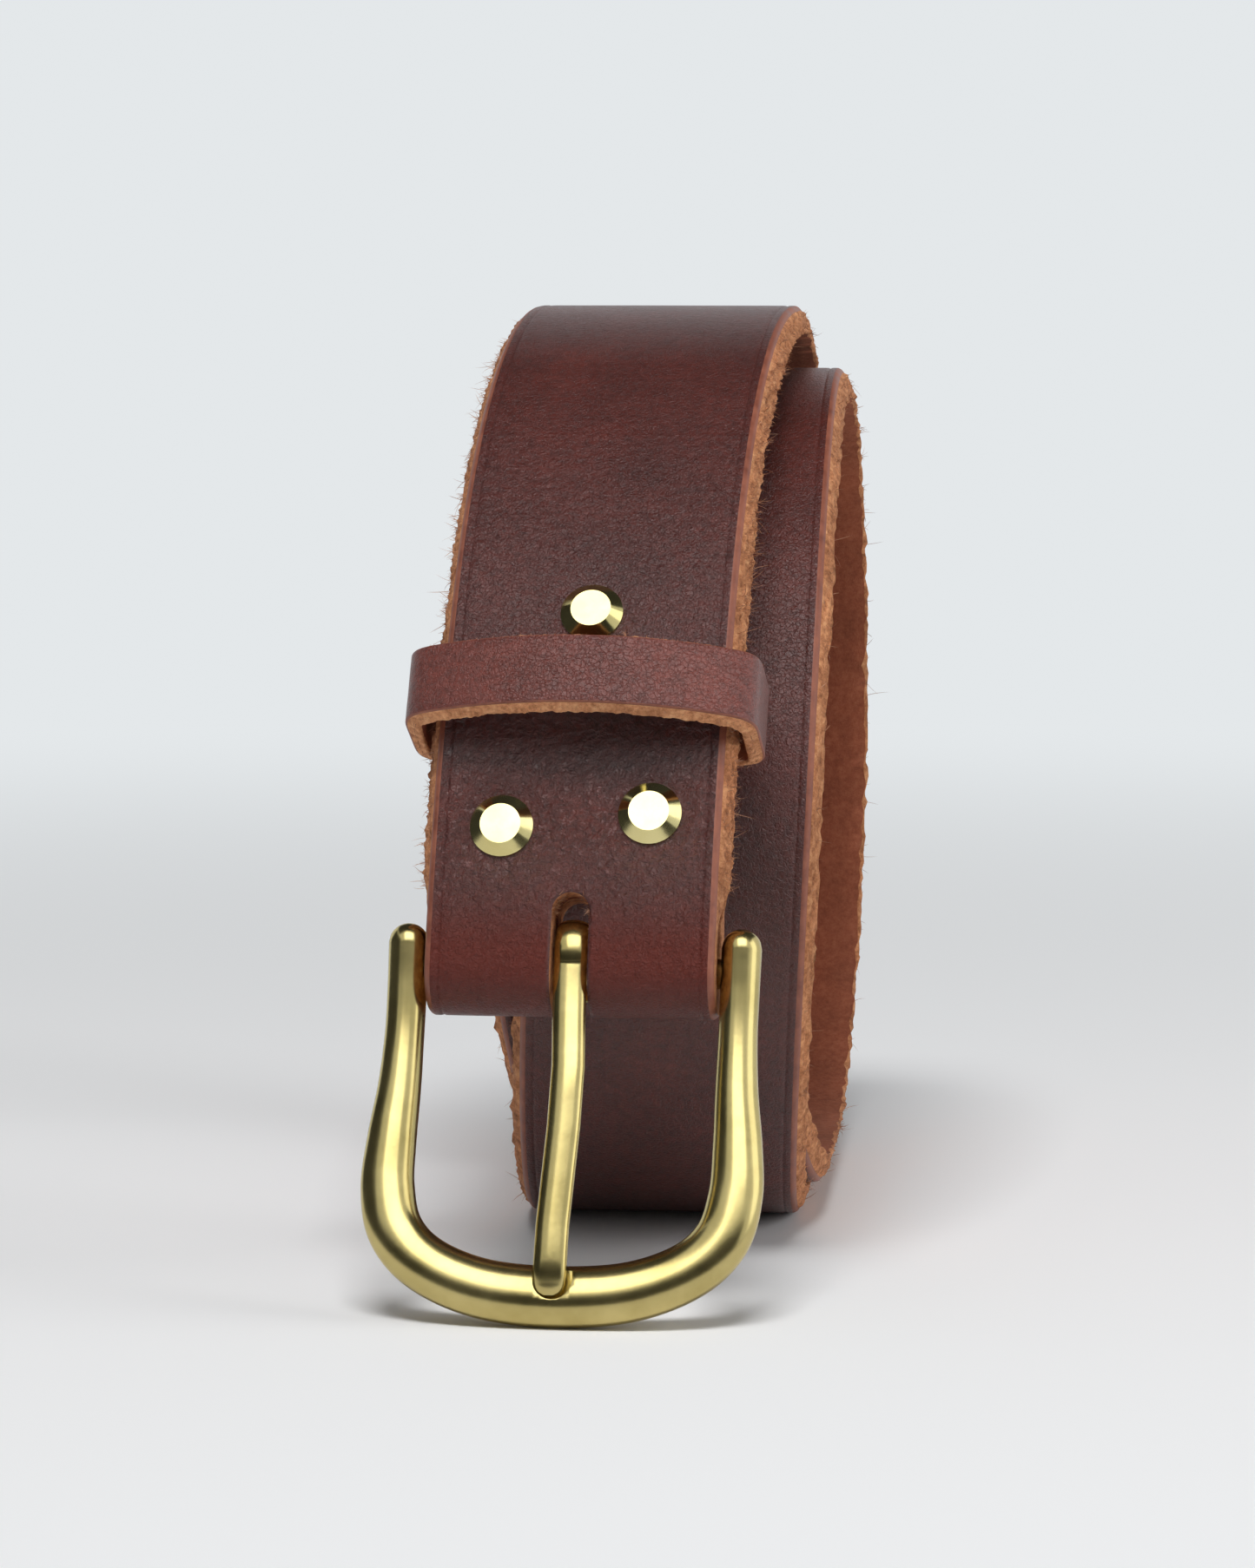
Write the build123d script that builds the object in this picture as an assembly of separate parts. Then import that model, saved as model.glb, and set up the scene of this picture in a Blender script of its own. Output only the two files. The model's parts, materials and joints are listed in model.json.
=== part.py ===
from build123d import *
import math
import os
from collections import namedtuple

# A man's leather belt, rolled up and stood on edge, with its buckle end brought over the top
# and down in front so that the buckle rim stands on the same surface.
# X runs along the buckle's heel bar, -Y is the front, +Z is up, lengths in millimetres.
# The path of the strap is drawn in the Y-Z plane as a chain of arcs and straight runs.

# ---- strap ----
STRAP_WIDTH = 38.5
STRAP_THICK = 4.0
LAYER_GAP = 0.15            # seam between the strap and its turned-back flap

# ---- front run, from the top of the roll down to the heel bar ----
TOP_Z = 127.5               # middle of the leather at the top of the roll
SHOULDER_RADIUS = 84.0
SHOULDER_TURN = 54.5
FRONT_RADIUS = 159.0
FRONT_TURN = 19.0

# ---- roll behind it ----
ROLL_YAW = 3.5              # the roll is turned this much about the vertical, against the front run
ROLL_START = 5.0            # flat wedge between the front run and the roll
CREST_Y = 3.0               # top of the inner turns
FOOT_BACK = 10.0            # flat foot that the roll stands on, from here ...
FOOT_FRONT = -16.0          # ... to here
FOOT_Z = [2.0, 6.4, 10.8]   # middle of the leather at the bottom of each turn
CREST_Z = [TOP_Z, 118.5, 111.0]
CREST_X = [0.0, 6.4, -4.0]  # sideways shift of the turns at the crest, where they telescope
FOOT_X = [1.8, 5.0, -2.0]   # ... at the foot
BACK_X = [0.9, 6.6, -3.2]   # ... half way down the back
FRONT_X = [5.4, -2.0]       # ... and half way up the front, from the outer turn inward
TIP_LENGTH = 19.0

# ---- holes and slot ----
ADJUSTING_HOLE_DIA = 4.6
ADJUSTING_HOLE_PITCH = 25.4
ADJUSTING_HOLES = 5
FIRST_HOLE_FROM_TIP = 102.0
PUNCH_DEPTH = 5.5
SLOT_WIDTH = 5.0
SLOT_ABOVE_BAR = 9.6

# ---- fold and flap ----
BAR_RADIUS = 2.0
BAR_RUNNING_GAP = 0.1
FOLD_OVERWRAP = 20.0        # how far past parallel the leather wraps round the bar
FOLD_BLEND_RADIUS = 26.0
FLAP_REACH = 65.0           # from the bar to the end of the flap

# ---- buckle frame, measured down from the bar in its own plane ----
FRAME_THICK = 5.2
FRAME_DROP = 47.2           # bar axis to the outer edge of the rim
RIM_WIDTH = 7.6
RIM_RADIUS = 34.0
LEG_OUTER_TOP = 24.1
LEG_OUTER_LOW = 26.8
LEG_INNER = 19.7
KNOB_ABOVE_BAR = 5.4
OUTER_CORNER = 13.0
INNER_CORNER = 5.0
FRAME_BEVEL = 1.7
FRAME_BACK_ROUND = 0.5
KNOB_ROUNDING = 0.48        # share of the leg's width at its top
BAR_INTO_LEG = 1.0
SEAT_WIDTH = 5.6
SEAT_DEPTH = 0.9

# ---- prong ----
PRONG_WIDTH = 4.4
PRONG_THICK = 2.4
PRONG_BEND = 15.6
PRONG_BOW = 0.5
PRONG_LENGTH = 45.2
PRONG_FACET = 4.2
PRONG_SEAT_GAP = 0.05
PRONG_TIP_ROUND = 0.3       # share of the thickness cut from the tip's lower corner
PRONG_EDGE_ROUND = 0.5
LOOP_GAP_ANGLE = 38.0
LOOP_GAP_AT = 205.0

# ---- keeper ----
KEEPER_FROM_BAR = 36.4      # bar to the middle of the keeper, along the strap
KEEPER_LENGTH = 10.6
KEEPER_THICK = 2.2
KEEPER_HALF_INSIDE = 21.4
KEEPER_RISE = 7.2           # inside of the dome above the strap
KEEPER_SHOULDER = 1.4       # inside height where the dome springs, above the strap
KEEPER_BACK_GAP = 0.75
KEEPER_CORNER = 3.0
STAPLE_WIRE = 0.8
STAPLE_SPAN = 9.0
STAPLE_CLINCH = 3.2

# ---- rivets ----
RIVETS = {                  # name: (distance from the bar along the strap, sideways place)
    "rivet_lower_left": (18.2, -9.8),
    "rivet_lower_right": (20.2, 9.8),
    "rivet_upper": (48.8, 0.0),
}
CAP_RADIUS = 4.2
CAP_DISC_RADIUS = 2.7
CAP_HEIGHT = 1.6
CAP_EDGE = 0.4
CAP_WALL = 0.35
CAP_SINK = 0.25
FLANGE_THICK = 0.35
SOCKET_RADIUS = 1.6
POST_RADIUS = 1.05
SOCKET_SHORT = 0.6

# ---- placing, so that the origin is at the middle of the underside of the whole belt ----
SHIFT_X = -1.24
SHIFT_Y = 17.56

SPARE = 10.0                # how far cutting tools run past what they cut
CLOSE = 0.01                # places nearer than this count as the same
LAYER_STEP = STRAP_THICK + LAYER_GAP
STRAIGHT = 0.0

Station = namedtuple("Station", "y z heading")


def direction(angle):
    return math.cos(math.radians(angle)), math.sin(math.radians(angle))


def advance(station, radius, amount):
    """Next station: an arc of a signed turn in degrees, or a straight run of a length."""
    if radius == STRAIGHT:
        dy, dz = direction(station.heading)
        return Station(station.y + amount * dy, station.z + amount * dz, station.heading)
    side = 90.0 if amount > 0 else -90.0
    cy, cz = direction(station.heading + side)
    centre_y = station.y + radius * cy
    centre_z = station.z + radius * cz
    ey, ez = direction(station.heading + side + amount)
    return Station(centre_y - radius * ey, centre_z - radius * ez, station.heading + amount)


def beside(station, offset):
    """Point at a distance to the left of the path."""
    dy, dz = direction(station.heading + 90.0)
    return Vector(0, station.y + offset * dy, station.z + offset * dz)


def ribbon(station, radius, amount, width=STRAP_WIDTH):
    """Solid leather along one arc or run of the path, centred on X = 0."""
    half = STRAP_THICK / 2
    end = advance(station, radius, amount)
    if radius == STRAIGHT:
        left_edge = Line(beside(station, half), beside(end, half))
        right_edge = Line(beside(end, -half), beside(station, -half))
    else:
        mid = advance(station, radius, amount / 2)
        left_edge = ThreePointArc(beside(station, half), beside(mid, half), beside(end, half))
        right_edge = ThreePointArc(beside(end, -half), beside(mid, -half), beside(station, -half))
    far_end = Line(beside(end, half), beside(end, -half))
    near_end = Line(beside(station, -half), beside(station, half))
    outline = Face(Wire([left_edge, far_end, right_edge, near_end]))
    return extrude(outline, amount=width / 2, dir=(1, 0, 0), both=True)


def run_of(start, steps, width=STRAP_WIDTH):
    """Solids along several steps, and the station at the end of them."""
    solids = []
    station = start
    for radius, amount in steps:
        solids.append(ribbon(station, radius, amount, width))
        station = advance(station, radius, amount)
    return solids, station


def along(start, steps, distance):
    """Station at a distance along a chain of steps."""
    station = start
    for radius, amount in steps:
        length = abs(amount) if radius == STRAIGHT else abs(math.radians(amount)) * radius
        if distance <= length:
            part_of = amount * distance / length
            return advance(station, radius, part_of)
        distance -= length
        station = advance(station, radius, amount)
    return station


def plane_on(station, offset_x=0.0):
    """Plane on the path: X across, Y back up the path, Z out of the side on its right."""
    dy, dz = direction(station.heading - 90.0)
    return Plane(origin=(offset_x, station.y, station.z), x_dir=(1, 0, 0), z_dir=(0, dy, dz))


# ---- the front run and the bar ----
CREST = Station(0.0, TOP_Z, 180.0)
FRONT_STEPS = [(SHOULDER_RADIUS, SHOULDER_TURN), (FRONT_RADIUS, FRONT_TURN)]
FRONT_LENGTH = sum(radius * math.radians(turn) for radius, turn in FRONT_STEPS)
AT_BAR = along(CREST, FRONT_STEPS, FRONT_LENGTH)
FOLD_RADIUS = BAR_RADIUS + BAR_RUNNING_GAP + STRAP_THICK / 2
BAR_POINT = beside(AT_BAR, FOLD_RADIUS)
BAR_Y = BAR_POINT.Y
BAR_Z = BAR_POINT.Z


def front_station(from_bar):
    """Station on the front run at a distance above the bar."""
    return along(CREST, FRONT_STEPS, FRONT_LENGTH - from_bar)


def flap_steps():
    """Wrap round the bar, straight run, blend, then the flap behind the front run."""
    wrap = 180.0 + FOLD_OVERWRAP
    leave = advance(AT_BAR, FOLD_RADIUS, wrap)
    front_centre = beside(AT_BAR, FRONT_RADIUS)
    flap_radius = FRONT_RADIUS - LAYER_STEP
    toward = Vector(0, *direction(leave.heading))
    first = beside(leave, -FOLD_BLEND_RADIUS) - front_centre
    reach = flap_radius - FOLD_BLEND_RADIUS
    half_b = first.dot(toward)
    run = -half_b + math.sqrt(half_b ** 2 - first.dot(first) + reach ** 2)
    blend_centre = first + toward * run
    blend_end = math.degrees(math.atan2(blend_centre.Z, blend_centre.Y)) - 90.0
    blend = (leave.heading - 360.0) - blend_end
    parallel_end = AT_BAR.heading - 180.0 - FRONT_TURN
    front_part = blend_end - parallel_end
    used = flap_radius * math.radians((AT_BAR.heading - 180.0) - blend_end)
    covered = used + flap_radius * math.radians(front_part)
    shoulder_part = math.degrees((FLAP_REACH - covered) / (SHOULDER_RADIUS - LAYER_STEP))
    return [
        (FOLD_RADIUS, wrap),
        (STRAIGHT, run),
        (FOLD_BLEND_RADIUS, -blend),
        (flap_radius, -front_part),
        (SHOULDER_RADIUS - LAYER_STEP, -shoulder_part),
    ]


# ---- the roll ----
def down_steps(top_y, top_z, foot_z):
    """Two quarter arcs from a crest down the back to the foot."""
    total = top_z - foot_z
    extra = FOOT_BACK - top_y
    return [((total + extra) / 2, -90.0), ((total - extra) / 2, -90.0)]


def up_steps(foot_z, top_z):
    """Two quarter arcs from the foot up the front to a crest."""
    total = top_z - foot_z
    extra = CREST_Y - FOOT_FRONT
    return [((total - extra) / 2, -90.0), ((total + extra) / 2, -90.0)]


def slab_middle(slab, z):
    """Sideways shift of a slab's middle at a height: a parabola through its three places."""
    (z_low, x_low), (z_mid, x_mid), (z_high, x_high) = slab
    low = x_low * (z - z_mid) * (z - z_high) / ((z_low - z_mid) * (z_low - z_high))
    mid = x_mid * (z - z_low) * (z - z_high) / ((z_mid - z_low) * (z_mid - z_high))
    high = x_high * (z - z_low) * (z - z_mid) / ((z_high - z_low) * (z_high - z_mid))
    return low + mid + high


def slab_edge(slab, side):
    """Upright curve along one edge of the leather, from below the slab to above it."""
    bottom = slab[0][0] - STRAP_THICK
    top = slab[2][0] + STRAP_THICK
    heights = (bottom, (bottom + top) / 2, top)
    places = [(slab_middle(slab, z) + side * STRAP_WIDTH / 2, 0, z) for z in heights]
    bow = places[1][0] - (places[0][0] + places[2][0]) / 2
    if abs(bow) < CLOSE:
        return Line(places[0], places[2])
    return ThreePointArc(*places)


def between(slab):
    """Everything between the two edges of the leather, one strap width apart."""
    left = slab_edge(slab, -1)
    right = slab_edge(slab, 1)
    outline = Wire([left, Line(left @ 1, right @ 1), right, Line(right @ 0, left @ 0)])
    return extrude(Face(outline), amount=TOP_Z, dir=(0, 1, 0), both=True)


def half_turn_slab(foot, foot_x, middle_x, crest, crest_x):
    return ((foot, foot_x), ((foot + crest) / 2, middle_x), (crest, crest_x))


def foot_slab(number):
    """Slab for the flat foot of a turn, with no shift along it."""
    place = FOOT_X[number]
    return half_turn_slab(FOOT_Z[number] - 1.0, place, place, FOOT_Z[number] + 1.0, place)


ROLL_CREST = Station(ROLL_START, TOP_Z, 0.0)
CREST_START = [ROLL_START, CREST_Y, CREST_Y]
FOOT_STEPS = [(STRAIGHT, FOOT_BACK - FOOT_FRONT)]


def roll_parts():
    """Every stretch of the roll from the crest inward: its steps and the slab it lies in."""
    stretches = []
    for turn in range(3):
        down = down_steps(CREST_START[turn], CREST_Z[turn], FOOT_Z[turn])
        slab = half_turn_slab(FOOT_Z[turn], FOOT_X[turn], BACK_X[turn], CREST_Z[turn], CREST_X[turn])
        stretches.append((down, slab))
        if turn == 2:
            return stretches
        stretches.append((FOOT_STEPS, foot_slab(turn)))
        crest = CREST_Z[turn + 1]
        slab = half_turn_slab(FOOT_Z[turn], FOOT_X[turn], FRONT_X[turn], crest, CREST_X[turn + 1])
        stretches.append((up_steps(FOOT_Z[turn], crest), slab))


ROLL_PARTS = roll_parts()
ROLL_STEPS = [step for steps, _ in ROLL_PARTS for step in steps]
ROLL_LENGTH = sum(
    abs(amount) * (1.0 if radius == STRAIGHT else math.radians(1.0) * radius)
    for radius, amount in ROLL_STEPS
)


def rounded_tip():
    """What is left outside a half-round tip at the inner end of the strap."""
    spring = along(ROLL_CREST, ROLL_STEPS, ROLL_LENGTH - TIP_LENGTH)
    middle = slab_middle(ROLL_PARTS[-1][1], spring.z)
    work = plane_on(spring, middle)
    block = Pos(0, -TIP_LENGTH, 0) * Box(STRAP_WIDTH + SPARE, 2 * TIP_LENGTH, 2 * SPARE)
    disc = Cylinder(STRAP_WIDTH / 2, 3 * SPARE)
    return work * (block - disc)


def adjusting_holes():
    """Round holes down the middle of the strap, a standard pitch apart."""
    punches = []
    for number in range(ADJUSTING_HOLES):
        from_tip = FIRST_HOLE_FROM_TIP + number * ADJUSTING_HOLE_PITCH
        station = along(ROLL_CREST, ROLL_STEPS, ROLL_LENGTH - from_tip)
        slab = ROLL_PARTS[-1][1] if station.y > CREST_Y else ROLL_PARTS[-2][1]
        work = plane_on(station, slab_middle(slab, station.z))
        punches.append(work * Cylinder(ADJUSTING_HOLE_DIA / 2, PUNCH_DEPTH))
    return punches


def make_roll():
    """The rolled part of the strap, turned to its yaw."""
    station = ROLL_CREST
    turns = []
    for steps, slab in ROLL_PARTS:
        solids, station = run_of(station, steps, STRAP_WIDTH + 4 * SPARE)
        turns.append((Part() + solids) & between(slab))
    turns[-1] = turns[-1] - rounded_tip()
    roll = Part() + turns - adjusting_holes()
    return Rot(0, 0, ROLL_YAW) * roll


def crest_wedge():
    """Flat wedge of leather at the crest, where the front run turns away from the roll."""
    half = STRAP_WIDTH / 2
    back = [Vector(x, ROLL_START, 0).rotate(Axis.Z, ROLL_YAW) for x in (half, -half)]
    outline = Polyline((-half, 0, 0), (half, 0, 0), back[0], back[1], close=True)
    plate = extrude(Face(Wire(outline.edges())), amount=STRAP_THICK / 2, both=True)
    return Pos(0, 0, TOP_Z) * plate


def prong_slot():
    """Oblong slot that lets the prong's loop reach the bar through the fold."""
    work = Plane(origin=(0, BAR_Y, BAR_Z), x_dir=(1, 0, 0), z_dir=plane_on(AT_BAR).z_dir)
    square_top = SLOT_ABOVE_BAR - SLOT_WIDTH / 2
    depth = 2 * SPARE
    length = square_top + depth
    slot = Pos(0, square_top - length / 2, 0) * Box(SLOT_WIDTH, length, depth)
    slot = slot + Pos(0, square_top, 0) * Cylinder(SLOT_WIDTH / 2, depth)
    return work * slot


def rivet_plane(name):
    """Plane at the front base of a rivet's cap, Z outward."""
    from_bar, across = RIVETS[name]
    station = front_station(from_bar)
    surface = plane_on(station, across)
    return surface.offset(STRAP_THICK / 2 - CAP_SINK)


RIVET_GRIP = STRAP_THICK + LAYER_STEP - 2 * CAP_SINK


def rivet_seat(name):
    """Room for a rivet in the leather: shank hole and two shallow seats."""
    shank = Pos(0, 0, -RIVET_GRIP / 2) * Cylinder(SOCKET_RADIUS, RIVET_GRIP + SPARE)
    front = Pos(0, 0, CAP_SINK) * Cylinder(CAP_RADIUS, 2 * CAP_SINK)
    back = Pos(0, 0, -RIVET_GRIP - CAP_SINK) * Cylinder(CAP_RADIUS, 2 * CAP_SINK)
    return rivet_plane(name) * (shank + front + back)


def make_strap():
    front, end = run_of(CREST, FRONT_STEPS)
    flap, _ = run_of(end, flap_steps())
    leather = make_roll() + crest_wedge() + front + flap
    leather = leather - prong_slot()
    leather = leather - [rivet_seat(name) for name in RIVETS]
    return leather


# ---- buckle frame ----
def frame_angle():
    """Slope of the frame when its rim just touches the surface that the roll stands on."""
    reach = FRAME_DROP - FRAME_BACK_ROUND
    depth = FRAME_THICK / 2 - FRAME_BACK_ROUND
    height = BAR_Z - FRAME_BACK_ROUND
    return math.degrees(math.asin(height / math.hypot(reach, depth)) - math.atan2(depth, reach))


FRAME_SLOPE = frame_angle()
FRAME_NORMAL = (0, *direction(FRAME_SLOPE + 90.0))
FRAME_PLANE = Plane(origin=(0, BAR_Y, BAR_Z), x_dir=(1, 0, 0), z_dir=FRAME_NORMAL)


def frame_outline():
    """Outer edge of the frame, with the bar at Y = 0 and the rim below it."""
    rim_edge = FRAME_DROP - (RIM_RADIUS - math.sqrt(RIM_RADIUS ** 2 - LEG_OUTER_LOW ** 2))
    left = Line((-LEG_OUTER_TOP, KNOB_ABOVE_BAR), (-LEG_OUTER_LOW, -rim_edge))
    rim = ThreePointArc((-LEG_OUTER_LOW, -rim_edge), (0, -FRAME_DROP), (LEG_OUTER_LOW, -rim_edge))
    right = Line((LEG_OUTER_LOW, -rim_edge), (LEG_OUTER_TOP, KNOB_ABOVE_BAR))
    top = Line((LEG_OUTER_TOP, KNOB_ABOVE_BAR), (-LEG_OUTER_TOP, KNOB_ABOVE_BAR))
    face = Sketch() + Face(Wire([left, rim, right, top]))
    return fillet(face.vertices().sort_by(Axis.Y)[:2], OUTER_CORNER)


def window_outline():
    """Inner edge of the frame, open at the top between the knobs."""
    drop = FRAME_DROP - RIM_WIDTH
    rim_edge = drop - (RIM_RADIUS - math.sqrt(RIM_RADIUS ** 2 - LEG_INNER ** 2))
    top = KNOB_ABOVE_BAR + SPARE
    left = Line((-LEG_INNER, top), (-LEG_INNER, -rim_edge))
    rim = ThreePointArc((-LEG_INNER, -rim_edge), (0, -drop), (LEG_INNER, -rim_edge))
    right = Line((LEG_INNER, -rim_edge), (LEG_INNER, top))
    over = Line((LEG_INNER, top), (-LEG_INNER, top))
    face = Sketch() + Face(Wire([left, rim, right, over]))
    return fillet(face.vertices().sort_by(Axis.Y)[:2], INNER_CORNER)


def make_buckle_frame():
    outline = frame_outline() - window_outline()
    knob_corners = outline.vertices().filter_by(lambda corner: corner.Y > 0)
    outline = fillet(knob_corners, (LEG_OUTER_TOP - LEG_INNER) * KNOB_ROUNDING)
    body = extrude(outline, amount=FRAME_THICK / 2, both=True)
    front_edges = body.edges().filter_by(lambda edge: edge.center().Z > FRAME_THICK / 2 - CLOSE)
    body = chamfer(front_edges, FRAME_BEVEL)
    back_edges = body.edges().filter_by(lambda edge: edge.center().Z < CLOSE - FRAME_THICK / 2)
    body = fillet(back_edges, FRAME_BACK_ROUND)
    bar = Rot(0, 90, 0) * Cylinder(BAR_RADIUS, 2 * LEG_INNER + 2 * BAR_INTO_LEG)
    seat = Pos(0, -FRAME_DROP + RIM_WIDTH / 2, FRAME_THICK / 2)
    seat = seat * Box(SEAT_WIDTH, RIM_WIDTH + SPARE, 2 * SEAT_DEPTH)
    return FRAME_PLANE * (body + bar - seat)


# ---- prong ----
def make_prong():
    """Rolled loop round the bar, and a blade that rests in the seat on the rim."""
    inner = BAR_RADIUS + BAR_RUNNING_GAP
    outer = inner + PRONG_THICK
    seat = FRAME_THICK / 2 - SEAT_DEPTH + PRONG_SEAT_GAP
    tip_front = seat + PRONG_THICK
    tip_round = PRONG_THICK * PRONG_TIP_ROUND
    blade = Polyline(
        (0, inner),
        (0, outer),
        (-PRONG_BEND, outer + PRONG_BOW),
        (-PRONG_LENGTH + PRONG_FACET, tip_front),
        (-PRONG_LENGTH, seat + tip_round),
        (-PRONG_LENGTH + tip_round, seat),
        (-PRONG_LENGTH + PRONG_FACET + PRONG_THICK, seat),
        (-PRONG_BEND, inner + PRONG_BOW),
        close=True,
    )
    profile = Sketch() + Face(Wire(blade.edges()))
    profile = profile + Circle(outer) - Circle(inner)
    mouth_a = direction(LOOP_GAP_AT - LOOP_GAP_ANGLE / 2)
    mouth_b = direction(LOOP_GAP_AT + LOOP_GAP_ANGLE / 2)
    reach = 2 * outer
    mouth = Polyline(
        (0, 0),
        (reach * mouth_a[0], reach * mouth_a[1]),
        (reach * mouth_b[0], reach * mouth_b[1]),
        close=True,
    )
    profile = profile - Face(Wire(mouth.edges()))
    solid = extrude(profile, amount=PRONG_WIDTH / 2, both=True)
    side_edges = solid.edges().filter_by(
        lambda edge: abs(edge.center().Z) > PRONG_WIDTH / 2 - CLOSE and edge.center().Y > inner + PRONG_BOW
    )
    long_edges = side_edges.filter_by(lambda edge: edge.length > PRONG_THICK * 2)
    front_edges = long_edges.filter_by(lambda edge: edge.center().Y > outer - 2 * PRONG_BOW)
    solid = fillet(front_edges, PRONG_EDGE_ROUND)
    side_on = Plane(origin=FRAME_PLANE.origin, x_dir=FRAME_PLANE.y_dir, z_dir=(1, 0, 0))
    return side_on * solid


# ---- keeper ----
KEEPER_STATION = front_station(KEEPER_FROM_BAR)
KEEPER_PLANE = plane_on(KEEPER_STATION).offset(STRAP_THICK / 2)
KEEPER_BACK = STRAP_THICK + LAYER_STEP + KEEPER_BACK_GAP


def keeper_section(grow):
    """Loop outline across the strap: X across, Y outward from the strap's face."""
    half = KEEPER_HALF_INSIDE + grow
    spring = KEEPER_SHOULDER
    crown = KEEPER_RISE + grow
    back = -KEEPER_BACK - grow
    left = Line((-half, back), (-half, spring))
    dome = ThreePointArc((-half, spring), (0, crown), (half, spring))
    right = Line((half, spring), (half, back))
    base = Line((half, back), (-half, back))
    face = Sketch() + Face(Wire([left, dome, right, base]))
    return fillet(face.vertices(), KEEPER_CORNER + grow)


def across_keeper(shape):
    """Stand a shape drawn across the strap on the strap, at the keeper's place."""
    across = Plane(
        origin=KEEPER_PLANE.origin, x_dir=(1, 0, 0), z_dir=KEEPER_PLANE.y_dir * -1
    )
    return across * shape


def make_staple():
    """Wire staple across the butt joint at the back of the keeper, pressed in flush."""
    wire = STAPLE_WIRE / 2
    outside = -KEEPER_BACK - KEEPER_THICK + wire
    inside = -KEEPER_BACK - wire
    crown = Pos(0, outside, 0) * Rot(0, 90, 0) * Cylinder(wire, STAPLE_SPAN)
    staple = crown
    for side in (-1, 1):
        place = side * STAPLE_SPAN / 2
        leg = Pos(place, (outside + inside) / 2, 0) * Rot(90, 0, 0) * Cylinder(wire, inside - outside)
        clinch = Pos(place - side * STAPLE_CLINCH / 2, inside, 0)
        clinch = clinch * Rot(0, 90, 0) * Cylinder(wire, STAPLE_CLINCH)
        staple = staple + leg + clinch
        for height in (outside, inside):
            staple = staple + Pos(place, height, 0) * Sphere(wire)
    return across_keeper(staple)


def make_keeper(staple):
    section = keeper_section(KEEPER_THICK) - keeper_section(0.0)
    loop = extrude(section, amount=KEEPER_LENGTH / 2, both=True)
    return across_keeper(loop) - staple


# ---- rivets ----
def cap_shape(radius, disc_radius, height, edge):
    """Low cap: short upright edge, then a cone up to a flat disc."""
    rim = Pos(0, 0, edge / 2) * Cylinder(radius, edge)
    cone = Pos(0, 0, edge + (height - edge) / 2) * Cone(radius, disc_radius, height - edge)
    return rim + cone


def make_cap():
    hollow = cap_shape(
        CAP_RADIUS - CAP_WALL, CAP_DISC_RADIUS - CAP_WALL, CAP_HEIGHT - CAP_WALL, CAP_EDGE
    )
    return cap_shape(CAP_RADIUS, CAP_DISC_RADIUS, CAP_HEIGHT, CAP_EDGE) - hollow


def make_socket():
    """Tube with a flange that sits inside the front cap."""
    length = RIVET_GRIP - SOCKET_SHORT
    tube = Pos(0, 0, -length / 2) * Cylinder(SOCKET_RADIUS, length)
    flange = Pos(0, 0, FLANGE_THICK / 2) * Cylinder(CAP_RADIUS - CAP_WALL, FLANGE_THICK)
    bore = Pos(0, 0, -length / 2) * Cylinder(POST_RADIUS, length + SPARE)
    return tube + flange - bore


def make_post():
    """Pin with a flange that sits inside the back cap, pressed up the socket."""
    pin = Pos(0, 0, -RIVET_GRIP / 2) * Cylinder(POST_RADIUS, RIVET_GRIP)
    flange = Pos(0, 0, -RIVET_GRIP - FLANGE_THICK / 2)
    flange = flange * Cylinder(CAP_RADIUS - CAP_WALL, FLANGE_THICK)
    return pin + flange


def make_rivet(name):
    """The four pieces of one double-cap rivet."""
    place = rivet_plane(name)
    back_cap = Pos(0, 0, -RIVET_GRIP) * Rot(180, 0, 0) * make_cap()
    return {
        name + "_front_cap": place * make_cap(),
        name + "_socket": place * make_socket(),
        name + "_post": place * make_post(),
        name + "_back_cap": place * back_cap,
    }


def main():
    os.makedirs("parts", exist_ok=True)
    staple = make_staple()
    nodes = {
        "strap": make_strap(),
        "buckle_frame": make_buckle_frame(),
        "prong": make_prong(),
        "keeper_loop": make_keeper(staple),
        "keeper_staple": staple,
    }
    for name in RIVETS:
        nodes.update(make_rivet(name))
    for name, shape in nodes.items():
        placed = Pos(SHIFT_X, SHIFT_Y, 0) * shape
        export_step(Compound(children=list(placed.solids())), f"parts/{name}.step")
    print("bar", round(BAR_Y + SHIFT_Y, 3), round(BAR_Z, 3), "frame slope", round(FRAME_SLOPE, 3))
    print("strap length", round(FRONT_LENGTH + ROLL_LENGTH + ROLL_START, 1))


main()
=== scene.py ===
import json
import math
import random

import bpy
import numpy as np
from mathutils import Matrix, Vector, noise


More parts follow.
